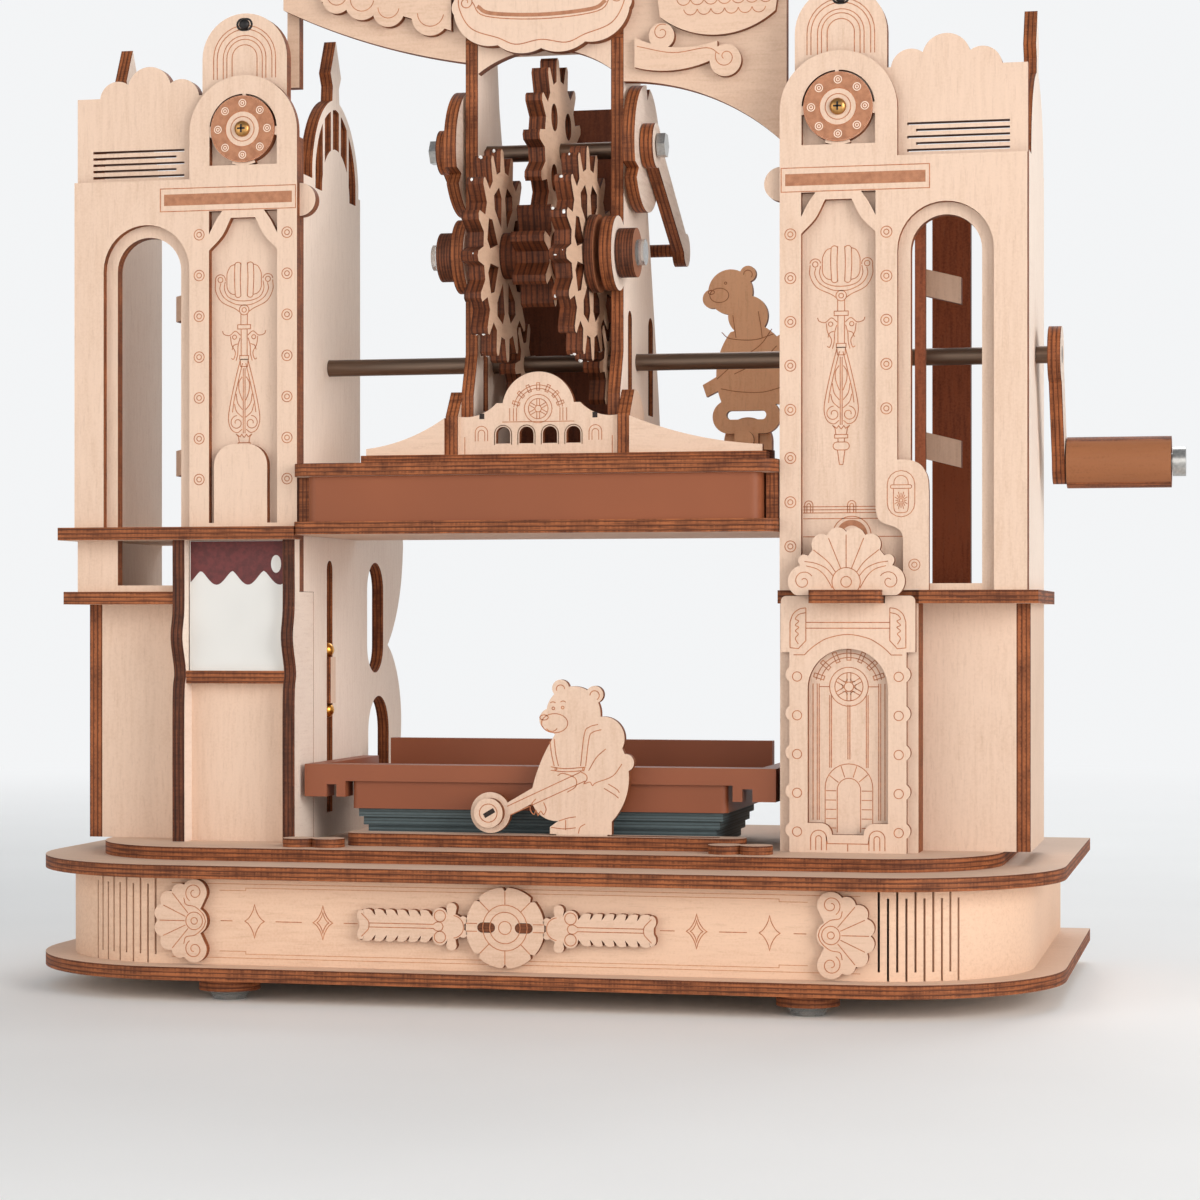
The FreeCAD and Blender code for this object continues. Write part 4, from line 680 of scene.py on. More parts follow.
# Ornaments glued on the fascia, cut from thin plywood: a rosette of eight lobes with the two slots for the
# tabs, an arm of rounded leaves to each side, and a palmette with two volutes near each bend.
def petalled(across, up, hub, spans, tips, floor=99.0, steps=240):
    """Closed outline round a hub: in each direction the farthest of the hub's radius, of the spans given as
    (middle angle, half angle, radius), and of round tips given as (angle, reach, tip radius), but nowhere
    lower than the floor under the hub."""
    a = np.linspace(0.0, 2.0 * math.pi, steps, endpoint=False)
    far = np.full(steps, float(hub))
    for angle, half, radius in spans:
        inside = np.cos(a - math.radians(angle)) >= math.cos(math.radians(half))
        far = np.where(inside, np.maximum(far, radius), far)
    for angle, reach, radius in tips:
        lean = a - math.radians(angle)
        middle = reach - radius
        left = radius ** 2 - (middle * np.sin(lean)) ** 2
        hit = (left > 0.0) & (np.cos(lean) > 0.0)
        far = np.where(hit, np.maximum(far, middle * np.cos(lean) + np.sqrt(np.abs(left))), far)
    down = np.maximum(-np.sin(a), 1e-6)
    far = np.minimum(far, floor / down)
    return np.stack([across + far * np.cos(a), up + far * np.sin(a)], 1), True


a = np.linspace(0.0, 2.0 * math.pi, 288, endpoint=False)
apart = np.abs((np.degrees(a) + 22.5) % 45.0 - 22.5)
lobed = 9.0 - 0.9 * np.clip(1.0 - apart / 4.0, 0.0, None) * (np.abs(np.sin(a)) > 0.2)
slots = [pill(2.25, 6.35, band - 1.15, band + 1.15)]
rosette = [(np.stack([lobed * np.cos(a), band + lobed * np.sin(a)], 1), True)] + slots + flipped(slots)

joint = petalled(12.2, 0.0, 2.9, [], [(89, 5.3, 1.2), (42, 5.4, 1.7), (150, 3.9, 0.9)])[0][20:121][::-1]
leaf = np.array([(-0.45, 2.15), (0.1, 2.75), (0.45, 3.3), (1.1, 3.6), (1.9, 3.62), (2.5, 3.45), (2.4, 3.0)])
leaves = (np.arange(6)[:, None, None] * (2.65, 0.0) + (17.1, 0.0) + leaf).reshape(-1, 2)
arm_tip = smooth((32.65, 2.3), (32.7, 3.0), (33.1, 3.35), (33.8, 3.15), (34.2, 2.4), (34.15, 1.4), (33.75, 0.7),
                 (33.7, 0.0), steps=3)[0]
edge = np.vstack([joint, leaves, arm_tip])
arm_shape = shifted([(np.vstack([edge, (edge * (1.0, -1.0))[-2:0:-1]]), True)], 0.0, band)

hub = 72.85
palm_tips = []
for side in (-1.0, 1.0):
    palm_tips += [(side * 12.6, 9.7, 2.05), (side * 37.6, 9.7, 2.05), (side * 62.0, 9.3, 2.0), (side * 90.0, 9.45, 3.0)]
palm_shape = [petalled(hub, band, 3.1, [(0.0, 72.0, 7.6)], palm_tips)]
ornaments = cut_out("fascia_carvings", [rosette] + arm_shape + flipped(arm_shape) + palm_shape + flipped(palm_shape),
                    ornament_face, fascia_low.y, lying_front)
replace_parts(ornaments, "fascia_ornaments")

rosette = [ring(0.0, band, 1.45), ring(0.0, band, 3.5), ring(0.0, band, 5.1)]
for k in range(8):
    a = math.radians(45.0 * k)
    if k % 4:
        rosette.append(line((5.1 * math.cos(a), band + 5.1 * math.sin(a)), (8.1 * math.cos(a), band + 8.1 * math.sin(a))))
arm = []
for side in (-1.0, 1.0):
    arm += [line((6.4, band + side * 0.87), (8.9, band + side * 0.87)), ring(14.95, band + side * 2.35, 1.3),
            line((16.4, band + side * 0.45), (31.5, band + side * 0.45)),
            smooth((33.2, band + side * 2.6), (32.3, band + side * 1.7), (31.6, band + side * 0.9), (31.4, band)),
            smooth((16.5, band + side * 0.5), (15.6, band + side * 1.0), (14.6, band + side * 0.8), (14.2, band)),
            arc(12.0, band, 2.5, 180.0 - side * 85.0, 180.0, 10)]
palm = [ring(hub, band, 2.0), ring(hub, band, 0.76), line((hub + 2.3, band), (hub + 8.3, band))]
for side in (-1.0, 1.0):
    palm.append(curl(hub, band + side * 6.44, 2.2, 0.5, side * -60.0, side * 1.4))
    palm.append(smooth((hub + 2.5, band + side * 5.25), (hub + 1.96, band + side * 3.7), (hub - 0.2, band + side * 3.2),
                       (hub - 2.1, band + side * 1.6), (hub - 2.75, band)))
    for a in (25.0, 50.0):
        a = math.radians(side * a)
        palm.append(line((hub + 2.3 * math.cos(a), band + 2.3 * math.sin(a)),
                         (hub + 8.2 * math.cos(a), band + 8.2 * math.sin(a))))
engrave("fascia_ornament_veins", rosette + arm + flipped(arm) + palm + flipped(palm), ornament_face, width=0.2)


# Door of the right pedestal: rivet rings down both edges, a frieze with two bracket figures under the
# ledge, an arch line over the recess, and the two small stepped blocks at its foot.
door_low, door_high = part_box("pedestal_door")
door_x = ((door_low.x + door_high.x) / 2.0 - MIDDLE) / MM
deck = door_low.z / MM
door = []
for side in (-1.0, 1.0):
    for k in range(5):
        door.append(ring(side * 11.5, 4.6 + 8.75 * k, 1.05))
bracket = [line((9.5, 55.1), (9.5, 47.7), (11.2, 45.9), (13.1, 46.1), (13.1, 51.9)),
           smooth((13.1, 51.9), (12.4, 53.7), (11.0, 54.8), (9.5, 55.1)),
           smooth((9.6, 54.0), (11.1, 53.6), (11.9, 52.6), (11.1, 52.1), (11.9, 51.2), (11.1, 50.7), (11.9, 49.9),
                  (11.2, 49.2), (11.9, 48.2), (11.2, 46.9), steps=4),
           arch(6.6, 1.8, 0.5, 3.2), arch(6.6, 0.65, 0.5, 3.1),
           line((4.9, 3.6), (4.6, 2.0), (0.0, 2.0)), line((9.8, 44.5), (12.3, 44.5))]
door += bracket + flipped(bracket)
door += [line((-9.5, 51.8), (9.5, 51.8)), line((-9.5, 50.5), (9.5, 50.5)), line((0.0, 2.0), (0.0, 0.3)),
         smooth((-9.8, 44.5), (-8.7, 45.6), (-6.9, 47.0), (-4.4, 48.3), (0.0, 49.1), (4.4, 48.3), (6.9, 47.0),
                (8.7, 45.6), (9.8, 44.5))]
engrave("door_drawing", shifted(door, door_x, deck), door_low.y, width=0.21)

# Board behind the door's recess, with a rose wheel under a ring of clasps and a brick doorway below.
wheel_up = 37.3
behind = [ring(0.0, wheel_up, 4.4), ring(0.0, wheel_up, 3.2), ring(0.0, wheel_up, 1.05)]
for k in range(6):
    a = math.radians(60.0 * k + 90.0)
    for lean in (-0.14, 0.14):
        behind.append(line((1.1 * math.cos(a + 3.0 * lean), wheel_up + 1.1 * math.sin(a + 3.0 * lean)),
                           (3.15 * math.cos(a + lean), wheel_up + 3.15 * math.sin(a + lean))))
    behind.append(arc(2.0 * math.cos(a + 0.524), wheel_up + 2.0 * math.sin(a + 0.524), 0.62,
                      math.degrees(a + 0.524) + 110.0, math.degrees(a + 0.524) + 250.0, 8))
for radius in (6.6, 7.6):
    behind.append(arc(0.0, wheel_up, radius, 12.0, 168.0, 22))
for k in range(7):
    a = math.radians(18.0 + 24.0 * k)
    along = np.array([math.cos(a), math.sin(a)])
    across = np.array([-along[1], along[0]])
    centre = np.array([0.0, wheel_up + 0.1])
    corners = [centre + along * r + across * w for r, w in ((5.9, -0.45), (8.3, -0.45), (8.3, 0.45), (5.9, 0.45))]
    behind.append(loop(*corners))
for side in (-1.0, 1.0):
    for across_by, top in ((8.15, 38.0), (7.2, 38.0), (6.75, 38.0)):
        behind.append(line((side * across_by, 7.2), (side * across_by, top)))
    for across_by in (3.95, 4.35):
        behind.append(line((side * across_by, 19.0), (side * across_by, 35.4)))
    behind.append(line((side * 0.22, 20.9), (side * 0.22, 33.2)))
    behind.append(line((side * 4.5, wheel_up), (side * 6.7, wheel_up)))
behind += [arch(0.0, 5.4, 4.4, 14.5), arch(0.0, 2.65, 4.4, 14.0)]
for a in (148.0, 110.0, 70.0, 35.0):
    a = math.radians(a)
    behind.append(line((2.8 * math.cos(a), 14.2 + 2.8 * math.sin(a)), (5.2 * math.cos(a), 14.5 + 5.2 * math.sin(a))))
for k in range(5):
    for side in (-1.0, 1.0):
        behind.append(line((side * 2.9, 5.4 + 2.1 * k), (side * 5.2, 5.4 + 2.1 * k)))
engrave("doorway_drawing", shifted(behind, door_x, deck), face_of("pedestal_boards"), width=0.2)


# Ledges over the pedestals: lying boards whose middle stands forward as a tab with round corners, while
# two ears of the door's board rise beside it. Behind the tab stands the shell, cut from thin plywood: a hub
# of two rings, four broad petals, two narrow ones and a volute at each side.
crest_low, crest_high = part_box("shell_crests")
shell_x = (crest_high.x - MIDDLE) / MM - 12.5
ledge = crest_low.z / MM
ledge_low, ledge_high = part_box("ledges")
inner = 56.7
outer = (ledge_high.x - MIDDLE) / MM
back = (ledge_high.y - fascia_low.y) / MM
tab_front = (ledge_low.y - fascia_low.y) / MM
tab = 8.15
round_left = arc(shell_x - tab + 1.3, tab_front + 1.3, 1.3, 180.0, 270.0, 6)[0]
round_right = arc(shell_x + tab - 1.3, tab_front + 1.3, 1.3, 270.0, 360.0, 6)[0]
plan = (np.vstack([[inner, 25.6], [shell_x - tab, 25.6], round_left, round_right, [shell_x + tab, 25.6],
                   [shell_x + 15.9, 25.6], [shell_x + 15.9, 24.2], [outer, 24.2], [outer, back], [inner + 3.6, back],
                   [inner + 3.6, 37.5], [inner, 37.5]]), True)
boards = cut_out("ledge_board_right", [plan], ledge_low.z, ledge_high.z, lying, lie=(0, 1, 2))
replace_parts(boards, "ledges")
rise = 15.2
left_ledge = ledge + rise
plan = (np.array([[inner, 20.6], [outer, 20.6], [outer, back], [inner + 3.6, back], [inner + 3.6, 26.8],
                  [inner, 26.8]]), True)
cut_out("ledge_board_left", flipped([plan]), ledge_low.z + rise * MM, ledge_high.z + rise * MM, lying, lie=(0, 1, 2))
rail = [loop((87.9, 24.2), (outer, 24.2), (outer, back), (87.9, back))]
cut_out("ledge_rail_left", flipped(rail), ledge_low.z, ledge_high.z, lying, lie=(0, 1, 2))
ear_top = ledge - 1.3
ear = [(np.vstack([[8.4, ledge - 3.0], [15.2, ledge - 3.0], arc(14.0, ear_top - 1.2, 1.2, 0.0, 90.0, 5)[0],
                   [8.4, ear_top]]), True)]
cut_out("door_ears", shifted(ear + flipped(ear), door_x, 0.0), door_low.y, door_high.y, upright_front_thin)

petals = [(27.0, 12.0, 1.35), (153.0, 12.0, 1.35), (0.9, 13.2, 3.6), (179.1, 13.2, 3.6)]
petals += [(57.0 + 22.0 * k, 12.4, 2.35) for k in range(4)]
crest = [petalled(shell_x, ledge + 1.8, 9.2, [(90.0, 68.0, 10.4)], petals, floor=3.0)]
crests = cut_out("shell_carving", crest, crest_low.y, crest_high.y, upright_front_thin)
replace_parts(crests, "shell_crests")
shell = [arc(0.0, 1.8, 3.2, -40.0, 220.0, 22), ring(0.0, 1.8, 1.2)]
for a in (68.0, 90.0, 112.0):
    a = math.radians(a)
    shell.append(line((3.2 * math.cos(a), 1.8 + 3.2 * math.sin(a)), (10.6 * math.cos(a), 1.8 + 10.6 * math.sin(a))))
for side in (-1.0, 1.0):
    shell.append(smooth((side * 2.4, 4.0), (side * 4.2, 6.4), (side * 7.4, 9.0), steps=5))
    shell.append(smooth((side * 2.9, 3.1), (side * 4.6, 4.9), (side * 7.0, 6.0), (side * 9.4, 6.4), steps=5))
    shell.append(smooth((side * 3.1, 0.4), (side * 4.8, 3.2), (side * 6.6, 4.7), (side * 9.0, 5.4), steps=5))
    shell.append(curl(side * 9.7, 1.95, 2.3, 0.4, 150.0 if side > 0 else 30.0, side * -1.3))
shells = shifted(shell, shell_x, ledge)
engrave("shell_veins", shells, crest_low.y, width=0.2)


# Columns: double-ring rivets down the side strips, a hatched bar in a thin frame under the dial, and a
# tall standard lamp drawn on the board behind the opening. The left column stands on the higher ledge.
frame_low, frame_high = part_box("column_frames")
column_half = 13.35
column_x = (frame_high.x - MIDDLE) / MM - column_half
column_top = frame_high.z / MM
window_x = column_x + 24.15
band_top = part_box("window_bands")[1].z / MM
window_spring = column_top - 45.5
opening_half = 8.45
lobe = [(84.0 + dx, ledge + up) for dx, up in ((0.0, 29.3), (3.0, 29.1), (5.3, 28.0), (6.8, 25.4), (7.1, 22.0))]
front_edge = np.vstack([
    [column_x - column_half, ledge], arc(column_x, column_top - column_half, column_half, 180.0, 0.0, 32)[0],
    [column_x + column_half, band_top], [113.0, band_top], [113.0, ledge], [window_x + 10.8, ledge],
    arc(window_x, window_spring, 10.8, 0.0, 180.0, 20)[0], smooth(*lobe, steps=4)[0], [91.1, ledge]])
shoulder = column_top - 41.2
lintel = column_top - 33.6
side_curve = smooth((opening_half, shoulder), (5.2, shoulder + 3.4), (3.0, lintel), steps=6)[0]
bend = smooth((85.3, ledge + 11.2), (84.9, ledge + 13.0), (83.3, ledge + 14.2), (81.2, ledge + 14.9),
              (79.7, ledge + 16.0), (column_x + opening_half, ledge + 18.2), steps=5)[0]
opening = np.vstack([[column_x - opening_half, ledge + 4.0], [85.3, ledge + 4.0], bend,
                     side_curve + (column_x, 0.0), (side_curve * (-1.0, 1.0))[::-1] + (column_x, 0.0)])
brow = lintel + 1.7
spandrel = [(np.vstack([[opening_half, brow], [5.15, brow],
                        smooth((5.15, brow), (6.9, brow - 2.5), (opening_half, brow - 5.5), steps=5)[0][1:]]), True)]
spandrels = shifted(spandrel + flipped(spandrel), column_x, 0.0)
dial_low, dial_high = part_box("dial_medallions")
dial_x = (dial_high.x - MIDDLE) / MM - 7.9
dial_z = (dial_low.z + dial_high.z) / 2.0 / MM
dial_hole = (np.vstack([arc(dial_x, dial_z, 8.35, 0.0, 180.0, 30)[0], [dial_x - 8.35, dial_z - 8.4],
                        [dial_x + 8.35, dial_z - 8.4]]), True)
column_plate = [(front_edge, True), (opening, True)] + spandrels + [dial_hole]
left_edge = np.vstack([
    [column_x - column_half, left_ledge], arc(column_x, column_top - column_half, column_half, 180.0, 0.0, 32)[0],
    [column_x + column_half, band_top], [113.0, band_top], [113.0, left_ledge], [window_x + 10.8, left_ledge],
    arc(window_x, window_spring, 10.8, 0.0, 180.0, 20)[0], [84.0, left_ledge]])
left_opening = np.vstack([[column_x - opening_half, left_ledge + 1.0], [column_x + opening_half, left_ledge + 1.0],
                          side_curve + (column_x, 0.0), (side_curve * (-1.0, 1.0))[::-1] + (column_x, 0.0)])
left_plate = flipped([(left_edge, True), (left_opening, True)] + spandrels + [dial_hole])
panel = [(np.vstack([[column_x - 6.0, left_ledge + 1.0], arc(column_x - 1.0, left_ledge + 14.6, 5.0, 180.0, 90.0, 8)[0],
                     arc(column_x + 2.2, left_ledge + 14.6, 5.0, 90.0, 0.0, 8)[0], [column_x + 7.2, left_ledge + 1.0]]), True)]
cut_out("left_column_panel", flipped(panel), frame_low.y, frame_high.y, upright_front_thin)
fronts = cut_out("column_fronts", [column_plate, left_plate], frame_low.y, frame_high.y, upright_front_thin)
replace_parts(fronts, "column_frames", "window_bands", "lantern_plates")
bridges = []
for middle, half, reach in ((92.0, 3.0, 8.45), (184.0, 7.0, 8.45), (-3.0, 9.0, 8.45), (269.0, 20.0, 8.5)):
    rim = arc(dial_x, dial_z, reach, middle - half, middle + half, 6)[0]
    seat = arc(dial_x, dial_z, 7.8, middle + half, middle - half, 6)[0]
    bridges.append((np.vstack([rim, seat]), True))
cut_out("dial_bridges", bridges + flipped(bridges), frame_low.y + 0.01 * MM, frame_high.y - 0.1 * MM,
        upright_front_thin)

# Seen through the tall windows: the edge of a wall board just behind each window, a second board farther back,
# and two pale slats between them. Both boards' dark brown is painted shade, over the scorch of the near board's edge.
inside = plywood("ply_window_inside_painted_shade", 1, 2, face=(146, 80, 50), shade=(112, 56, 32), scorch=(60, 26, 12))
board = [loop((86.9, left_ledge), (89.3, left_ledge), (89.3, 190.0), (86.9, 190.0))]
cut_out("window_board_edges", board + flipped(board), fascia_low.y + 34.0 * MM, fascia_low.y + 36.0 * MM, inside)
boards = []
for side, foot in ((1.0, ledge), (-1.0, left_ledge)):
    boards.append(loop((side * 86.9, foot), (side * 96.0, foot), (side * 96.0, 190.0), (side * 86.9, 190.0)))
cut_out("window_rear_boards", boards, fascia_low.y + 70.0 * MM, fascia_low.y + 73.0 * MM, inside)
slats = [loop((87.4, low), (96.0, low - 2.2), (96.0, low + 4.0), (87.4, low + 6.2)) for low in (124.0, 161.8)]
cut_out("window_slats", slats + flipped(slats), fascia_low.y + 48.0 * MM, fascia_low.y + 51.0 * MM, upright_front)

rivets = []
for side in (-1.0, 1.0):
    for up in (80.5, 70.6, 60.7, 50.8, 40.8, 29.9, 19.9, 9.9):
        if side < 0 or up > 35.0:
            rivets += [ring(side * 10.9, up, 1.25), ring(side * 10.9, up, 0.58)]
rivets.append(loop((-13.0, 90.1), (-13.0, 95.5), (20.6, 95.5), (20.6, 90.1)))
rivets = shifted(rivets, column_x, ledge)
left_rivets = []
for side in (-1.0, 1.0):
    for k in range(7):
        left_rivets += [ring(side * 10.9, 26.5 + 9.65 * k, 1.25), ring(side * 10.9, 26.5 + 9.65 * k, 0.58)]
left_rivets.append(loop((-13.0, 90.1), (-13.0, 95.5), (20.6, 95.5), (20.6, 90.1)))
left_rivets = shifted(left_rivets, column_x, ledge)
engrave("column_rivets", rivets + flipped(left_rivets), frame_low.y, width=0.21)
bar = shifted([line((-12.1, 92.8), (19.7, 92.8))], column_x, ledge)
engrave("hatched_bars", bar + flipped(bar), frame_low.y, width=2.7, finish=raster, lift=0.015)

lamp_drawing = []
for side in (-1.0, 1.0):
    lamp_drawing += [smooth((side * 4.3, 73.8), (side * 4.2, 75.4), (side * 3.4, 76.9), (side * 2.3, 77.4), steps=5),
                     smooth((side * 2.3, 77.4), (side * 2.4, 74.0), (side * 2.2, 70.2), steps=5),
                     smooth((side * 0.8, 77.8), (side * 0.95, 74.0), (side * 0.8, 69.8), steps=5),
                     smooth((side * 4.3, 73.8), (side * 4.2, 71.8), (side * 3.4, 70.6), (side * 2.2, 70.2), steps=5),
                     arc(side * 1.55, 77.1, 0.8, 10.0, 170.0, 8), arc(side * 1.5, 70.3, 0.75, 190.0, 350.0, 8),
                     ring(side * 5.9, 73.8, 0.62, 14), arc(side * 5.9, 73.8, 1.25, -10.0 if side > 0 else 10.0,
                                                          190.0 if side > 0 else 170.0, 10),
                     smooth((side * 7.1, 73.6), (side * 7.1, 71.2), (side * 5.6, 68.6), (side * 2.4, 67.0),
                            (side * 1.2, 66.2)),
                     smooth((side * 4.7, 73.4), (side * 4.9, 71.6), (side * 4.0, 69.8), (side * 2.0, 68.9), (0.0, 68.7)),
                     smooth((side * 5.8, 73.0), (side * 6.0, 71.4), (side * 4.8, 69.4), (side * 2.2, 68.0), (0.0, 67.7)),
                     line((side * 0.8, 65.6), (side * 0.8, 63.1)), line((side * 0.75, 62.1), (side * 0.75, 55.8)),
                     smooth((side * 0.9, 60.6), (side * 2.2, 61.6), (side * 3.6, 60.6), (side * 5.0, 60.9),
                            (side * 5.4, 61.7)),
                     ring(side * 2.4, 60.2, 0.5, 12),
                     smooth((side * 3.4, 60.4), (side * 3.1, 58.4), (side * 2.2, 56.6), (side * 2.6, 55.0),
                            (side * 3.2, 55.2)),
                     smooth((side * 1.0, 60.0), (side * 1.5, 58.2), (side * 1.6, 56.2), (side * 2.0, 54.6)),
                     smooth((side * 1.6, 58.6), (side * 2.6, 58.2), (side * 3.0, 57.2)),
                     smooth((side * 1.0, 54.6), (side * 2.2, 50.0), (side * 3.4, 44.6), (side * 3.9, 40.8),
                            (side * 3.2, 38.4), (side * 1.7, 37.6), (side * 0.5, 38.4)),
                     smooth((side * 0.4, 54.0), (side * 1.4, 50.0), (side * 2.5, 45.2), (side * 2.9, 42.4)),
                     curl(side * 1.75, 39.9, 1.75, 0.45, 90.0, side * -1.3),
                     line((side * 0.22, 52.8), (side * 0.22, 37.4)),
                     smooth((side * 0.4, 45.2), (side * 1.2, 47.4), (side * 1.3, 49.4), (side * 0.5, 50.8)),
                     smooth((side * 0.4, 43.0), (side * 1.6, 44.6), (side * 2.0, 46.8)),
                     smooth((side * 0.4, 41.2), (side * 1.9, 42.6), (side * 2.4, 44.4)),
                     line((side * 2.0, 37.3), (side * 1.4, 36.6), (side * 1.2, 35.2)),
                     line((side * 2.0, 37.3), (side * 1.0, 36.6), (side * 0.6, 37.2), (0.0, 36.4)),
                     line((side * 0.75, 34.4), (side * 0.7, 33.5)), line((side * 0.85, 31.7), (side * 0.4, 28.4))]
lamp_drawing += [ring(0.0, 66.6, 1.2, 18), ring(0.0, 66.6, 0.55, 12), line((-0.4, 28.4), (0.4, 28.4)),
                 loop((-1.6, 62.1), (1.6, 62.1), (1.6, 63.1), (-1.6, 63.1)),
                 loop((-1.1, 54.9), (1.1, 54.9), (1.1, 55.8), (-1.1, 55.8)),
                 loop((-0.85, 53.2), (0.85, 53.2), (1.0, 54.9), (-1.0, 54.9)),
                 loop((-1.5, 34.4), (1.5, 34.4), (1.5, 35.2), (-1.5, 35.2)), pill(-1.85, 1.85, 31.7, 33.5)]
lamps = shifted(lamp_drawing, column_x + 0.4, ledge)
street = []
for up, end in ((18.9, 7.9), (18.2, 7.9), (17.5, 7.9), (16.2, 8.6), (12.1, 14.2)):
    street.append(line((-8.7, up), (end, up)))
for across_by in (-7.4, 2.4):
    street += [arch(across_by, 0.95, 17.6, 19.3, 10), arch(across_by, 0.42, 17.6, 19.2, 8)]
for radius in (4.4, 1.3):
    street.append(arc(2.4, 12.3, radius, 0.0, 180.0, 18))
street = shifted(street, column_x + 0.4, ledge)
engrave("standard_lamps", lamps + street + flipped(lamps), face_of("wing_fronts"), width=0.2)
glow = shifted([arc(2.4, 12.3, 2.95, 0.0, 180.0, 18)], column_x + 0.4, ledge)
engrave("hatched_rainbows", glow, face_of("wing_fronts"), width=1.3, finish=raster, lift=0.015)

# Arched head behind each dial: five arch lines, one inside the other, and a black screw at the crown.
head_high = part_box("wing_fronts")[1].z / MM
head = []
for radius in (7.7, 6.8, 5.3, 4.4, 3.1):
    head.append(arch(column_x + 0.3, radius, head_high - 15.4, head_high - 10.5))
engrave("head_arches", head + flipped(head), face_of("wing_fronts"), width=0.21)


# Dials in the columns' heads: a disc with a hatched outer ring, eight small double rings on it, a pale
# middle, and a brass screw with a cross slot.
outer_ring = [ring(dial_x, dial_z, 5.95, 44)]
engrave("dial_rings", outer_ring + flipped(outer_ring), dial_low.y, width=3.3, finish=raster, lift=0.03)
pale_line = burnt_line("pale_line", (240, 218, 200), (224, 200, 180))
small = []
for k in range(8):
    a = math.radians(45.0 * k + 90.0)
    for radius in (0.85, 0.36):
        small.append(ring(dial_x + 6.1 * math.cos(a), dial_z + 6.1 * math.sin(a), radius, 14))
engrave("dial_rivets", small + flipped(small), dial_low.y, width=0.2, finish=pale_line, lift=0.06)
middle_rings = [ring(dial_x, dial_z, 2.9), ring(dial_x, dial_z, 7.75, 40), ring(dial_x, dial_z, 4.2)]
engrave("dial_middle", middle_rings + flipped(middle_rings), dial_low.y, width=0.2, lift=0.05)


def turned(name, profile, centre, axis, finish, body="frame", steps=24):
    """Lathe-turned pieces: radii and heights of the profile, from the axis at the back to the axis at the
    front, are carried round the axis at each centre. The first and last points are the poles."""
    profile = np.array(profile, float)
    axis = np.array(axis, float)
    aside = np.array([0.0, 0.0, 1.0]) if abs(axis[2]) < 0.9 else np.array([1.0, 0.0, 0.0])
    first = np.cross(axis, aside)
    first = first / np.linalg.norm(first)
    second = np.cross(axis, first)
    a = np.linspace(0.0, 2.0 * math.pi, steps, endpoint=False)
    spoke = np.cos(a)[:, None] * first + np.sin(a)[:, None] * second
    rings = profile[1:-1, 0, None, None] * spoke[None] + profile[1:-1, 1, None, None] * axis
    poles = profile[[0, -1], 1, None] * axis
    one = np.vstack([rings.reshape(-1, 3), poles])
    count = len(profile) - 2
    i, k = np.meshgrid(np.arange(count - 1), np.arange(steps), indexing="ij")
    m = (k + 1) % steps
    quads = np.stack([i * steps + k, i * steps + m, (i + 1) * steps + m, (i + 1) * steps + k], -1).reshape(-1, 4)
    k = np.arange(steps)
    m = (k + 1) % steps
    back = np.stack([np.full(steps, count * steps), m, k], 1)
    front = np.stack([np.full(steps, count * steps + 1), (count - 1) * steps + k, (count - 1) * steps + m], 1)
    centres = np.array(centre, float).reshape(-1, 3)
    points = (centres[:, None, :] + one[None] * MM).reshape(-1, 3)
    shift = (np.arange(len(centres)) * len(one))[:, None, None]
    faces = (quads[None] + shift).reshape(-1, 4).tolist()
    faces += (back[None] + shift).reshape(-1, 3).tolist() + (front[None] + shift).reshape(-1, 3).tolist()
    mesh = bpy.data.meshes.new(name)
    mesh.from_pydata(points.tolist(), [], faces)
    mesh.update()
    piece = bpy.data.objects.new(name, mesh)
    bpy.context.scene.collection.objects.link(piece)
    piece.data.materials.append(finish)
    piece.data.shade_smooth()
    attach(piece, body)
    return piece


def both_sides(across, depth, up):
    """The same place on both sides of the press, in metres."""
    return [(MIDDLE + sign * across * MM, depth, up * MM) for sign in (-1.0, 1.0)]


screw_brass = metal("screw_brass", (196, 146, 88), 0.27, (1400.0, 1400.0, 1400.0))
black_metal_and_painted_slot_shade = metal("screw_black", (62, 60, 60), 0.4, (1400.0, 1400.0, 1400.0))
turned("dial_screws", [(0, -0.2), (1.9, -0.2), (1.9, 0.35), (1.7, 0.75), (1.1, 1.05), (0, 1.15)],
       both_sides(dial_x, dial_low.y, dial_z), (0, -1, 0), screw_brass)
# The dial screw's cross slot is a dark metal strip: painted shade in the slot.
slots = [line((dial_x - 0.95, dial_z), (dial_x + 0.95, dial_z)), line((dial_x, dial_z - 0.95), (dial_x, dial_z + 0.95))]
engrave("dial_screw_slots", slots + flipped(slots), dial_low.y - 1.12 * MM, width=0.42, finish=black_metal_and_painted_slot_shade, lift=0.06)
turned("head_screws", [(0, -0.2), (1.25, -0.2), (1.25, 0.4), (0.95, 0.75), (0, 0.85)],
       both_sides(column_x + 0.3, face_of("wing_fronts"), head_high - 2.6), (0, -1, 0), black_metal_and_painted_slot_shade)
# The slot round each head screw is a dark outline: painted shade.
head_tabs = [pill(column_x - 1.5, column_x + 2.1, head_high - 3.9, head_high - 1.3)]
engrave("head_screw_slots", head_tabs + flipped(head_tabs), face_of("wing_fronts"), width=0.5, finish=black_metal_and_painted_slot_shade)


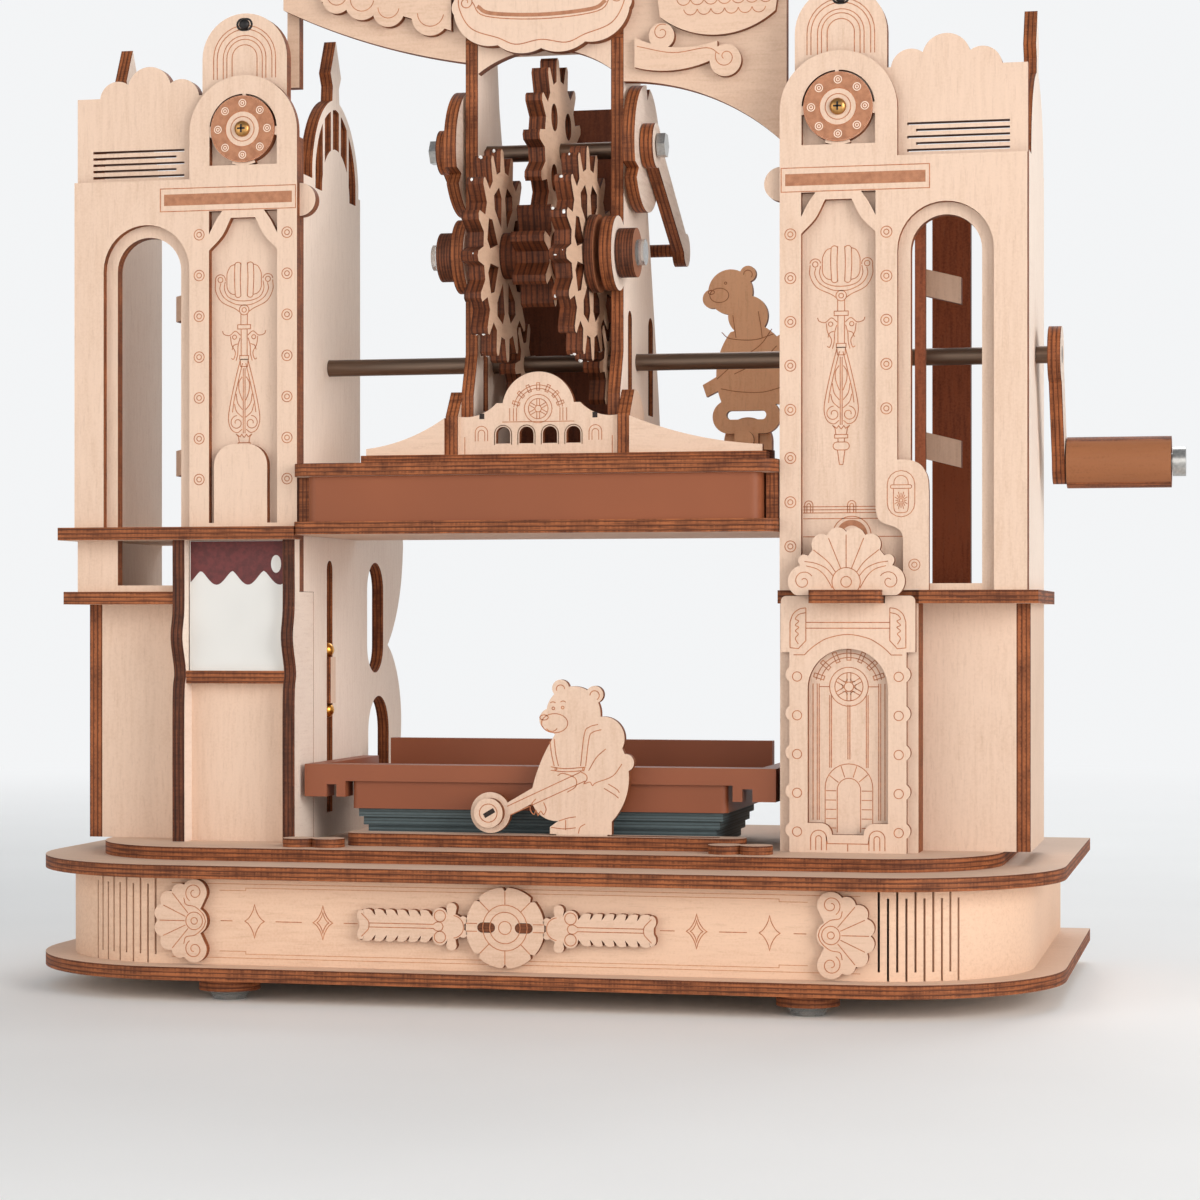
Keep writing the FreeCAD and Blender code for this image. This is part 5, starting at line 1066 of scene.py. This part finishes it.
# Plates with the small lantern: a capsule border, a domed cap, a bar and a rounded case with rays, and
# one more rivet at the plate's foot.
plate_x = column_x + 14.2
lantern = [pill(-3.1, 3.1, 16.4, 26.8), arch(0.0, 1.6, 23.6, 24.1, 12), pill(-2.4, 2.4, 22.8, 23.6),
           smooth((-1.7, 22.7), (-1.7, 20.0), (-1.5, 17.9), (-0.8, 17.4), (0.8, 17.4), (1.5, 17.9), (1.7, 20.0),
                  (1.7, 22.7), steps=4),
           ring(0.0, 20.1, 0.4, 12), ring(3.0, 5.65, 1.25), ring(3.0, 5.65, 0.58)]
for k in range(16):
    a = math.radians(22.5 * k)
    far = 1.55 if k % 2 else 1.25
    lantern.append(line((0.62 * math.cos(a), 20.1 + 0.62 * math.sin(a)), (far * math.cos(a), 20.1 + far * 1.35 * math.sin(a))))
lanterns = shifted(lantern, plate_x, ledge)
engrave("lantern_marks", lanterns, frame_low.y, width=0.18)


# Facade on the platen: the rose wheel under its clasps, a cornice line over the four windows, one blind
# arched window at each side, and two square mortises, drawn as near-black strips: painted shade in the holes.
facade_low, facade_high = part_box("facade")
floor = facade_low.z / MM
rose_up = 10.6
small_house = [ring(0.0, rose_up, 3.3), ring(0.0, rose_up, 2.35), ring(0.0, rose_up, 0.75), line((-8.6, 7.6), (8.6, 7.6)),
               arc(0.0, rose_up - 0.4, 5.1, 8.0, 172.0, 20), arc(0.0, rose_up - 0.4, 5.9, 8.0, 172.0, 20)]
for k in range(6):
    a = math.radians(60.0 * k + 90.0)
    for lean in (-0.14, 0.14):
        small_house.append(line((0.8 * math.cos(a + 3 * lean), rose_up + 0.8 * math.sin(a + 3 * lean)),
                                (2.3 * math.cos(a + lean), rose_up + 2.3 * math.sin(a + lean))))
for k in range(7):
    a = math.radians(18.0 + 24.0 * k)
    along = np.array([math.cos(a), math.sin(a)])
    across = np.array([-along[1], along[0]])
    centre = np.array([0.0, rose_up - 0.4])
    corners = [centre + along * r + across * w for r, w in ((4.7, -0.36), (6.4, -0.36), (6.4, 0.36), (4.7, 0.36))]
    small_house.append(loop(*corners))
for side in (-1.0, 1.0):
    for across_by in (5.2, 5.9, 6.8):
        small_house.append(line((side * across_by, 7.8), (side * across_by, 10.8)))
    small_house += [arch(side * 13.6, 1.5, 3.2, 5.2, 10), arch(side * 13.6, 0.8, 3.2, 5.0, 8),
                    line((side * 17.6, 0.0), (side * 17.6, 4.2))]
    for k in range(4):
        small_house.append(arch(side * 2.8 * (1 if k < 2 else 3), 2.05, 2.3, 4.8, 12))
engrave("facade_drawing", shifted(small_house, 0.0, floor), facade_low.y, width=0.18)
# Near-black strips for the mortises and the bear's roller slot: painted shade where the holes are.
hole_painted_shade = burnt_line("mortise_painted_shade", (40, 22, 14), (22, 12, 8))
mortise = [line((12.9, 9.0 + floor), (14.1, 9.0 + floor))]
engrave("facade_mortises", mortise + flipped(mortise), facade_low.y, width=1.3, finish=hole_painted_shade, lift=0.015)


# Sign and beams: the sign is bare but for its border, a broad hatched band along the lower edge and a
# spiral at each end; the right beam has a scaled plume, the left one soft scallop lines.
beam_top = (sign_high.z / MM) - 2.0
sign = [smooth((-19.6, beam_top - 6.0), (-19.8, beam_top - 10.8), (-16.8, beam_top - 15.8), (-10.4, beam_top - 18.2),
               (-6.0, beam_top - 19.9), (0.0, beam_top - 19.0), (6.0, beam_top - 19.9), (10.4, beam_top - 18.2),
               (16.8, beam_top - 15.8), (19.8, beam_top - 10.8), (19.6, beam_top - 6.0)),
        smooth((-16.6, beam_top - 9.6), (-13.4, beam_top - 13.0), (0.0, beam_top - 14.2), (13.4, beam_top - 13.0),
               (16.6, beam_top - 9.6)),
        smooth((-17.0, beam_top - 3.0), (-9.0, beam_top - 0.4), (0.0, beam_top + 0.4), (9.0, beam_top - 0.4),
               (17.0, beam_top - 3.0))]
for side in (-1.0, 1.0):
    sign.append(curl(side * 18.2, beam_top - 9.6, 1.8, 0.4, 90.0, side * 1.3))
engrave("sign_border", sign, sign_low.y, width=0.24)
engrave("sign_band", [smooth((-15.4, beam_top - 10.6), (-12.0, beam_top - 12.4), (0.0, beam_top - 13.2),
                             (12.0, beam_top - 12.4), (15.4, beam_top - 10.6))], sign_low.y, width=0.9, finish=raster,
        lift=0.015)
plume_face = face_of("beam_ornaments")
plume = [smooth((29.5, beam_top - 6.6), (40.0, beam_top - 2.2), (55.0, beam_top - 4.6)),
         smooth((22.6, beam_top - 21.4), (31.0, beam_top - 23.2), (39.0, beam_top - 22.4), (42.0, beam_top - 24.0)),
         curl(43.4, beam_top - 24.6, 2.5, 0.6, 150.0, 1.2), curl(28.4, beam_top - 18.4, 2.0, 0.5, 60.0, 1.2)]
for row in range(4):
    for k in range(7 - row % 2):
        plume.append(arc(33.6 + 3.2 * k + 1.6 * (row % 2), beam_top - 6.2 - 2.3 * row, 1.6, 190.0, 350.0, 8))
engrave("beam_plume_scales", plume, plume_face, width=0.2)
sweep_marks = []
for across_by, drop, radius in ((-50.0, 6.2, 2.4), (-43.8, 7.4, 2.9), (-37.3, 9.6, 2.6), (-27.0, 11.4, 3.2)):
    sweep_marks.append(arc(across_by, beam_top - drop, radius, 180.0, 350.0, 12))
sweep_marks.append(smooth((-23.0, beam_top - 4.0), (-38.0, beam_top - 4.6), (-53.0, beam_top - 5.2)))
engrave("beam_scallops", sweep_marks, plume_face, width=0.2)


# Small pieces of the drive: wax rubbed on the teeth, and brass balls that hold the follower blocks in the
# slots of the inner walls.
pin_low, pin_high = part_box("follower_pins")
ball_y = (pin_low.y + pin_high.y) / 2.0
wall_in = (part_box("wing_inner_walls")[1].x - MIDDLE) / MM - 3.0
places = []
for up in (pin_low.z + 1.7 * MM, pin_high.z - 1.7 * MM):
    for sign in (-1.0, 1.0):
        places.append((MIDDLE + sign * (wall_in + 0.8) * MM, ball_y, up))
turn = np.linspace(0.0, math.pi, 11)
balls = turned("follower_balls", np.stack([1.9 * np.sin(turn), -1.9 * np.cos(turn)], 1), places, (1, 0, 0),
               metal("ball_brass", (224, 160, 74), 0.2, (900.0, 900.0, 900.0)), body="followers")
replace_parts(balls, "follower_pins")

# Board at the back of the tower, seen between the wheels; its dark brown is painted shade, for the dark inside the
# tower.
lobed_low, lobed_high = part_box("lobed_gear")
rear_plate_painted_shade = plywood("ply_tower_rear_painted_shade", 1, 2, face=(120, 66, 42), shade=(88, 46, 28), scorch=(60, 26, 12))
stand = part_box("platen_top")[1].z / MM + 3.0
rear_board = [loop((-15.9, stand), (15.9, stand), (15.9, 211.0), (-1.5, 211.0), (-1.5, 172.0), (-15.9, 166.0))]
cut_out("tower_rear_board", rear_board, lobed_high.y + 0.9 * MM, lobed_high.y + 3.9 * MM, rear_plate_painted_shade)

gear_low, gear_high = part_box("ornate_gears")
gear_centre = np.array([0.0, (gear_low.y + gear_high.y) / 2.0, (gear_low.z + gear_high.z) / 2.0])
tooth_tip = (gear_high.z - gear_low.z) / 2.0
draw = np.random.default_rng(7)
spots = 84
tooth = draw.integers(0, 16, spots)
lead = np.radians(130.7 + 180.0 + 11.25 + 22.5 * tooth) + draw.normal(0.0, 0.02, spots)
reach = tooth_tip - draw.uniform(0.1, 0.9, spots) * MM
side_x = draw.choice([-1.0, 1.0], spots) * (8.6 + draw.uniform(0.0, 3.2, spots)) * MM
wax_at = np.stack([MIDDLE + side_x, gear_centre[1] + reach * np.cos(lead), gear_centre[2] + reach * np.sin(lead)], 1)
lat, lon = np.meshgrid(np.linspace(0.15, math.pi - 0.15, 5), np.linspace(0.0, 2.0 * math.pi, 8, endpoint=False),
                       indexing="ij")
blob = np.stack([np.sin(lat) * np.cos(lon), np.sin(lat) * np.sin(lon), np.cos(lat)], -1).reshape(-1, 3)
size = draw.uniform(0.25, 0.62, (spots, 1, 3)) * MM
wax_points = (wax_at[:, None, :] + blob[None] * size).reshape(-1, 3)
i, k = np.meshgrid(np.arange(4), np.arange(8), indexing="ij")
quads = np.stack([i * 8 + k, (i + 1) * 8 + k, (i + 1) * 8 + (k + 1) % 8, i * 8 + (k + 1) % 8], -1).reshape(-1, 4)
wax_faces = (quads[None] + (np.arange(spots) * 40)[:, None, None]).reshape(-1, 4).tolist()
for start in range(0, spots * 40, 40):
    wax_faces += [list(range(start, start + 8)), list(range(start + 39, start + 31, -1))]
wax_mesh = bpy.data.meshes.new("tooth_wax")
wax_mesh.from_pydata(wax_points.tolist(), [], wax_faces)
wax_mesh.update()
wax = bpy.data.objects.new("tooth_wax", wax_mesh)
bpy.context.scene.collection.objects.link(wax)
f = Finish("wax_white")
flake = f.noise((1500.0, 1500.0, 1500.0), 2.0)
f.feed(f.ramp(flake, [(0.3, linear(214, 210, 204)), (0.7, linear(244, 243, 240))]), f.shader.inputs["Base Color"])
f.feed(f.sum("ADD", 0.3, f.sum("MULTIPLY", flake, 0.2)), f.shader.inputs["Roughness"])
f.relief(flake, 0.3, 0.0001)
wax.data.materials.append(f.made)
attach(wax, "front_gears")


# Cupboard at the left, taller than the pedestal at the right: two side boards with a wave in their front
# edge, a back, a shelf and a front board below it, glued from thick plywood.
front_y = (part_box("cabinet_boards")[0].y - fascia_low.y) / MM
back_y = (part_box("cabinet_boards")[1].y - fascia_low.y) / MM
under = left_ledge - 3.0
wave_at = deck + 33.0
wave = smooth((front_y, wave_at + 34.0), (front_y, wave_at + 22.0), (front_y - 1.3, wave_at + 15.0),
              (front_y + 1.1, wave_at + 7.0), (front_y, wave_at), (front_y, deck), steps=5)[0]
wing_front_y = (face_of("wing_fronts") - fascia_low.y) / MM - 0.05
side_board = (np.vstack([[front_y, under], wave, [back_y, deck], [back_y, ledge - 0.1], [wing_front_y, ledge - 0.1],
                         [wing_front_y, under]]), True)
near_side = MIDDLE - (inner + 0.68) * MM
far_side = MIDDLE - 87.7 * MM
shelf_top = deck + 40.4
# The cupboard's side boards take the same paler face as the sideways boards: painted light; their edges are a darker
# scorch.
scorched_side_painted_light = plywood("ply_cupboard_side", 0, 1, face=(236, 218, 203), shade=(228, 207, 191), scorch=(44, 20, 11),
                        ply=(108, 58, 34))
sides = cut_out("cupboard_side_near", [side_board], near_side - 3.0 * MM, near_side, scorched_side_painted_light, lie=(1, 2, 0))
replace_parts(sides, "cabinet_boards")
cut_out("cupboard_side_far", [side_board], far_side, far_side + 3.0 * MM, scorched_side_painted_light, lie=(1, 2, 0))
rear = [loop((60.3, deck), (84.7, deck), (84.7, ledge), (60.3, ledge))]
cut_out("cupboard_back", flipped(rear), fascia_low.y + (back_y - 3.0) * MM, fascia_low.y + back_y * MM, upright_front)
low_front = [loop((60.3, deck), (84.7, deck), (84.7, shelf_top - 3.0), (60.3, shelf_top - 3.0))]
cut_out("cupboard_front", flipped(low_front), fascia_low.y + 28.4 * MM, fascia_low.y + 31.4 * MM, upright_front)
shelf = [loop((58.6, 24.6), (86.0, 24.6), (86.0, back_y - 3.0), (58.6, back_y - 3.0))]
cut_out("cupboard_shelf", flipped(shelf), (shelf_top - 3.0) * MM, shelf_top * MM, lying, lie=(0, 1, 2))

# Card on the shelf: white, with a scalloped maroon header and a white oval in it.
card_left = -84.4
card_right = -60.5
card_top = under - 0.2
card_face = fascia_low.y + 26.3 * MM
card_white = moulded("card_white_stock", (226, 225, 221), 0.6, 900.0)
sheet = [loop((card_left, shelf_top), (card_right, shelf_top), (card_right, card_top), (card_left, card_top))]
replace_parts(cut_out("card_sheet", sheet, card_face, card_face + 0.4 * MM, card_white), "paper_card")
share = np.linspace(0.0, 1.0, 41)
hem = np.stack([card_right - 0.2 + (card_left - card_right + 0.4) * share,
                card_top - 7.1 - 3.3 * np.abs(np.sin(3.0 * math.pi * (share + 0.11))) ** 1.4], 1)
header = (np.vstack([[card_left + 0.2, card_top - 0.1], [card_right - 0.2, card_top - 0.1], hem]), True)
header_print = burnt_line("header_maroon", (104, 48, 48), (84, 38, 38))
cut_out("card_header", [header], card_face - 0.04 * MM, card_face + 0.02 * MM, header_print)
oval = ring(card_right - 2.4, card_top - 5.5, 1.25, 20, 2.1)
cut_out("card_oval", [oval], card_face - 0.07 * MM, card_face + 0.02 * MM, card_white)


# Bears: flat plywood figures with their features drawn on by the beam. The front one walks behind a
# roller on a long handle, the rear one pulls a slotted plate.
bear_low, bear_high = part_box("front_bear")
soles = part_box("bear_track")[1].z / MM + 0.3
bear = [ring(5.6, 25.4, 3.1, 22, 2.2), ring(3.1, 26.7, 1.0, 14, 0.6), arc(4.9, 25.0, 1.5, 215.0, 330.0, 8),
        ring(5.3, 28.8, 0.32, 10), ring(7.5, 29.0, 0.32, 10), arc(5.2, 29.5, 0.8, 40.0, 140.0, 6),
        arc(7.6, 29.7, 0.8, 40.0, 140.0, 6), arc(7.0, 33.2, 1.0, 0.0, 200.0, 8), arc(15.0, 31.8, 1.1, -60.0, 180.0, 10),
        smooth((15.8, 25.2), (13.8, 24.6), (12.6, 23.0), (11.7, 15.6)),
        smooth((16.6, 24.0), (14.6, 23.4), (13.7, 22.0), (12.9, 15.6)),
        smooth((4.5, 21.2), (4.9, 18.2), (5.5, 15.6)), smooth((5.5, 21.8), (5.9, 18.2), (6.5, 15.6)),
        smooth((4.7, 15.4), (8.0, 15.0), (12.9, 15.4)), smooth((4.7, 14.6), (8.0, 14.3), (12.6, 14.6)),
        ring(5.9, 14.9, 0.25, 8), ring(12.4, 15.0, 0.25, 8),
        smooth((17.6, 19.6), (15.4, 17.6), (13.6, 14.6)),
        smooth((6.3, 13.4), (7.6, 13.9), (10.4, 12.9), (10.6, 11.0), (8.6, 9.6), steps=5),
        line((-5.6, 6.2), (11.6, 14.2)), line((-4.9, 4.2), (12.7, 12.2)),
        smooth((11.6, 14.4), (13.0, 13.6), (13.2, 12.6), (12.5, 11.6), (13.9, 12.0), (14.5, 11.2), (15.4, 11.9),
               (19.2, 13.4), (21.4, 16.2), steps=4),
        smooth((1.2, 8.0), (0.3, 7.0), (-0.2, 5.6), (0.7, 4.4), (1.2, 5.4), (1.7, 4.2), (2.3, 5.2), (3.0, 4.4),
               (3.6, 5.6), (3.0, 7.2), steps=4),
        smooth((18.2, 11.6), (20.2, 10.4), (20.8, 9.6)), smooth((17.2, 10.6), (19.6, 9.2), (20.6, 8.4)),
        smooth((6.6, 3.0), (8.8, 3.7), (10.6, 4.0)), line((8.2, 3.2), (8.2, 0.9)),
        smooth((4.8, 1.5), (7.8, 1.2), (10.6, 1.5)), smooth((11.2, 0.2), (11.6, 1.6), (12.8, 2.4))]
engrave("front_bear_drawing", shifted(bear, 0.0, soles), bear_low.y + 2.0 * MM, body="front_bear", width=0.21)
wheel_marks = [ring(-9.6, 4.7, 2.1, 22), line((-11.4, 3.4), (-8.0, 6.4))]
engrave("roller_ring", shifted(wheel_marks[:1], 0.0, soles), bear_low.y, body="front_bear", width=0.2)
# The roller's slot is a near-black strip: painted shade.
engrave("roller_slot", shifted([line((-10.6, 4.0), (-8.2, 5.4))], 0.0, soles), bear_low.y, body="front_bear", width=1.1,
        finish=hole_painted_shade, lift=0.02)

rear_x = ((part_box("rear_bracket")[0].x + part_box("rear_bracket")[1].x) / 2.0 - MIDDLE) / MM
rear_z = rear_high.z / MM - 43.4
rear = [ring(-6.8, 36.2, 2.4, 18, 1.8), ring(-8.8, 37.0, 0.8, 12, 0.5), ring(-5.2, 39.2, 0.3, 8),
        arc(0.4, 41.2, 1.1, -40.0, 180.0, 10), smooth((-6.2, 27.0), (-4.0, 25.4), (2.0, 25.0), (7.0, 26.4)),
        smooth((-3.4, 31.2), (-3.0, 28.4), (-2.6, 25.6)), smooth((3.0, 32.0), (3.6, 28.6), (4.0, 25.4)),
        smooth((6.4, 27.6), (3.4, 23.6), (-2.0, 20.0), (-7.4, 15.4)), smooth((7.6, 23.4), (4.0, 20.0), (-3.0, 16.6)),
        smooth((-6.4, 13.0), (-2.0, 12.2), (4.0, 12.0), (9.0, 13.2))]
engrave("rear_bear_drawing", shifted(rear, rear_x, rear_z), rear_low.y, body="rear_bear", width=0.21)
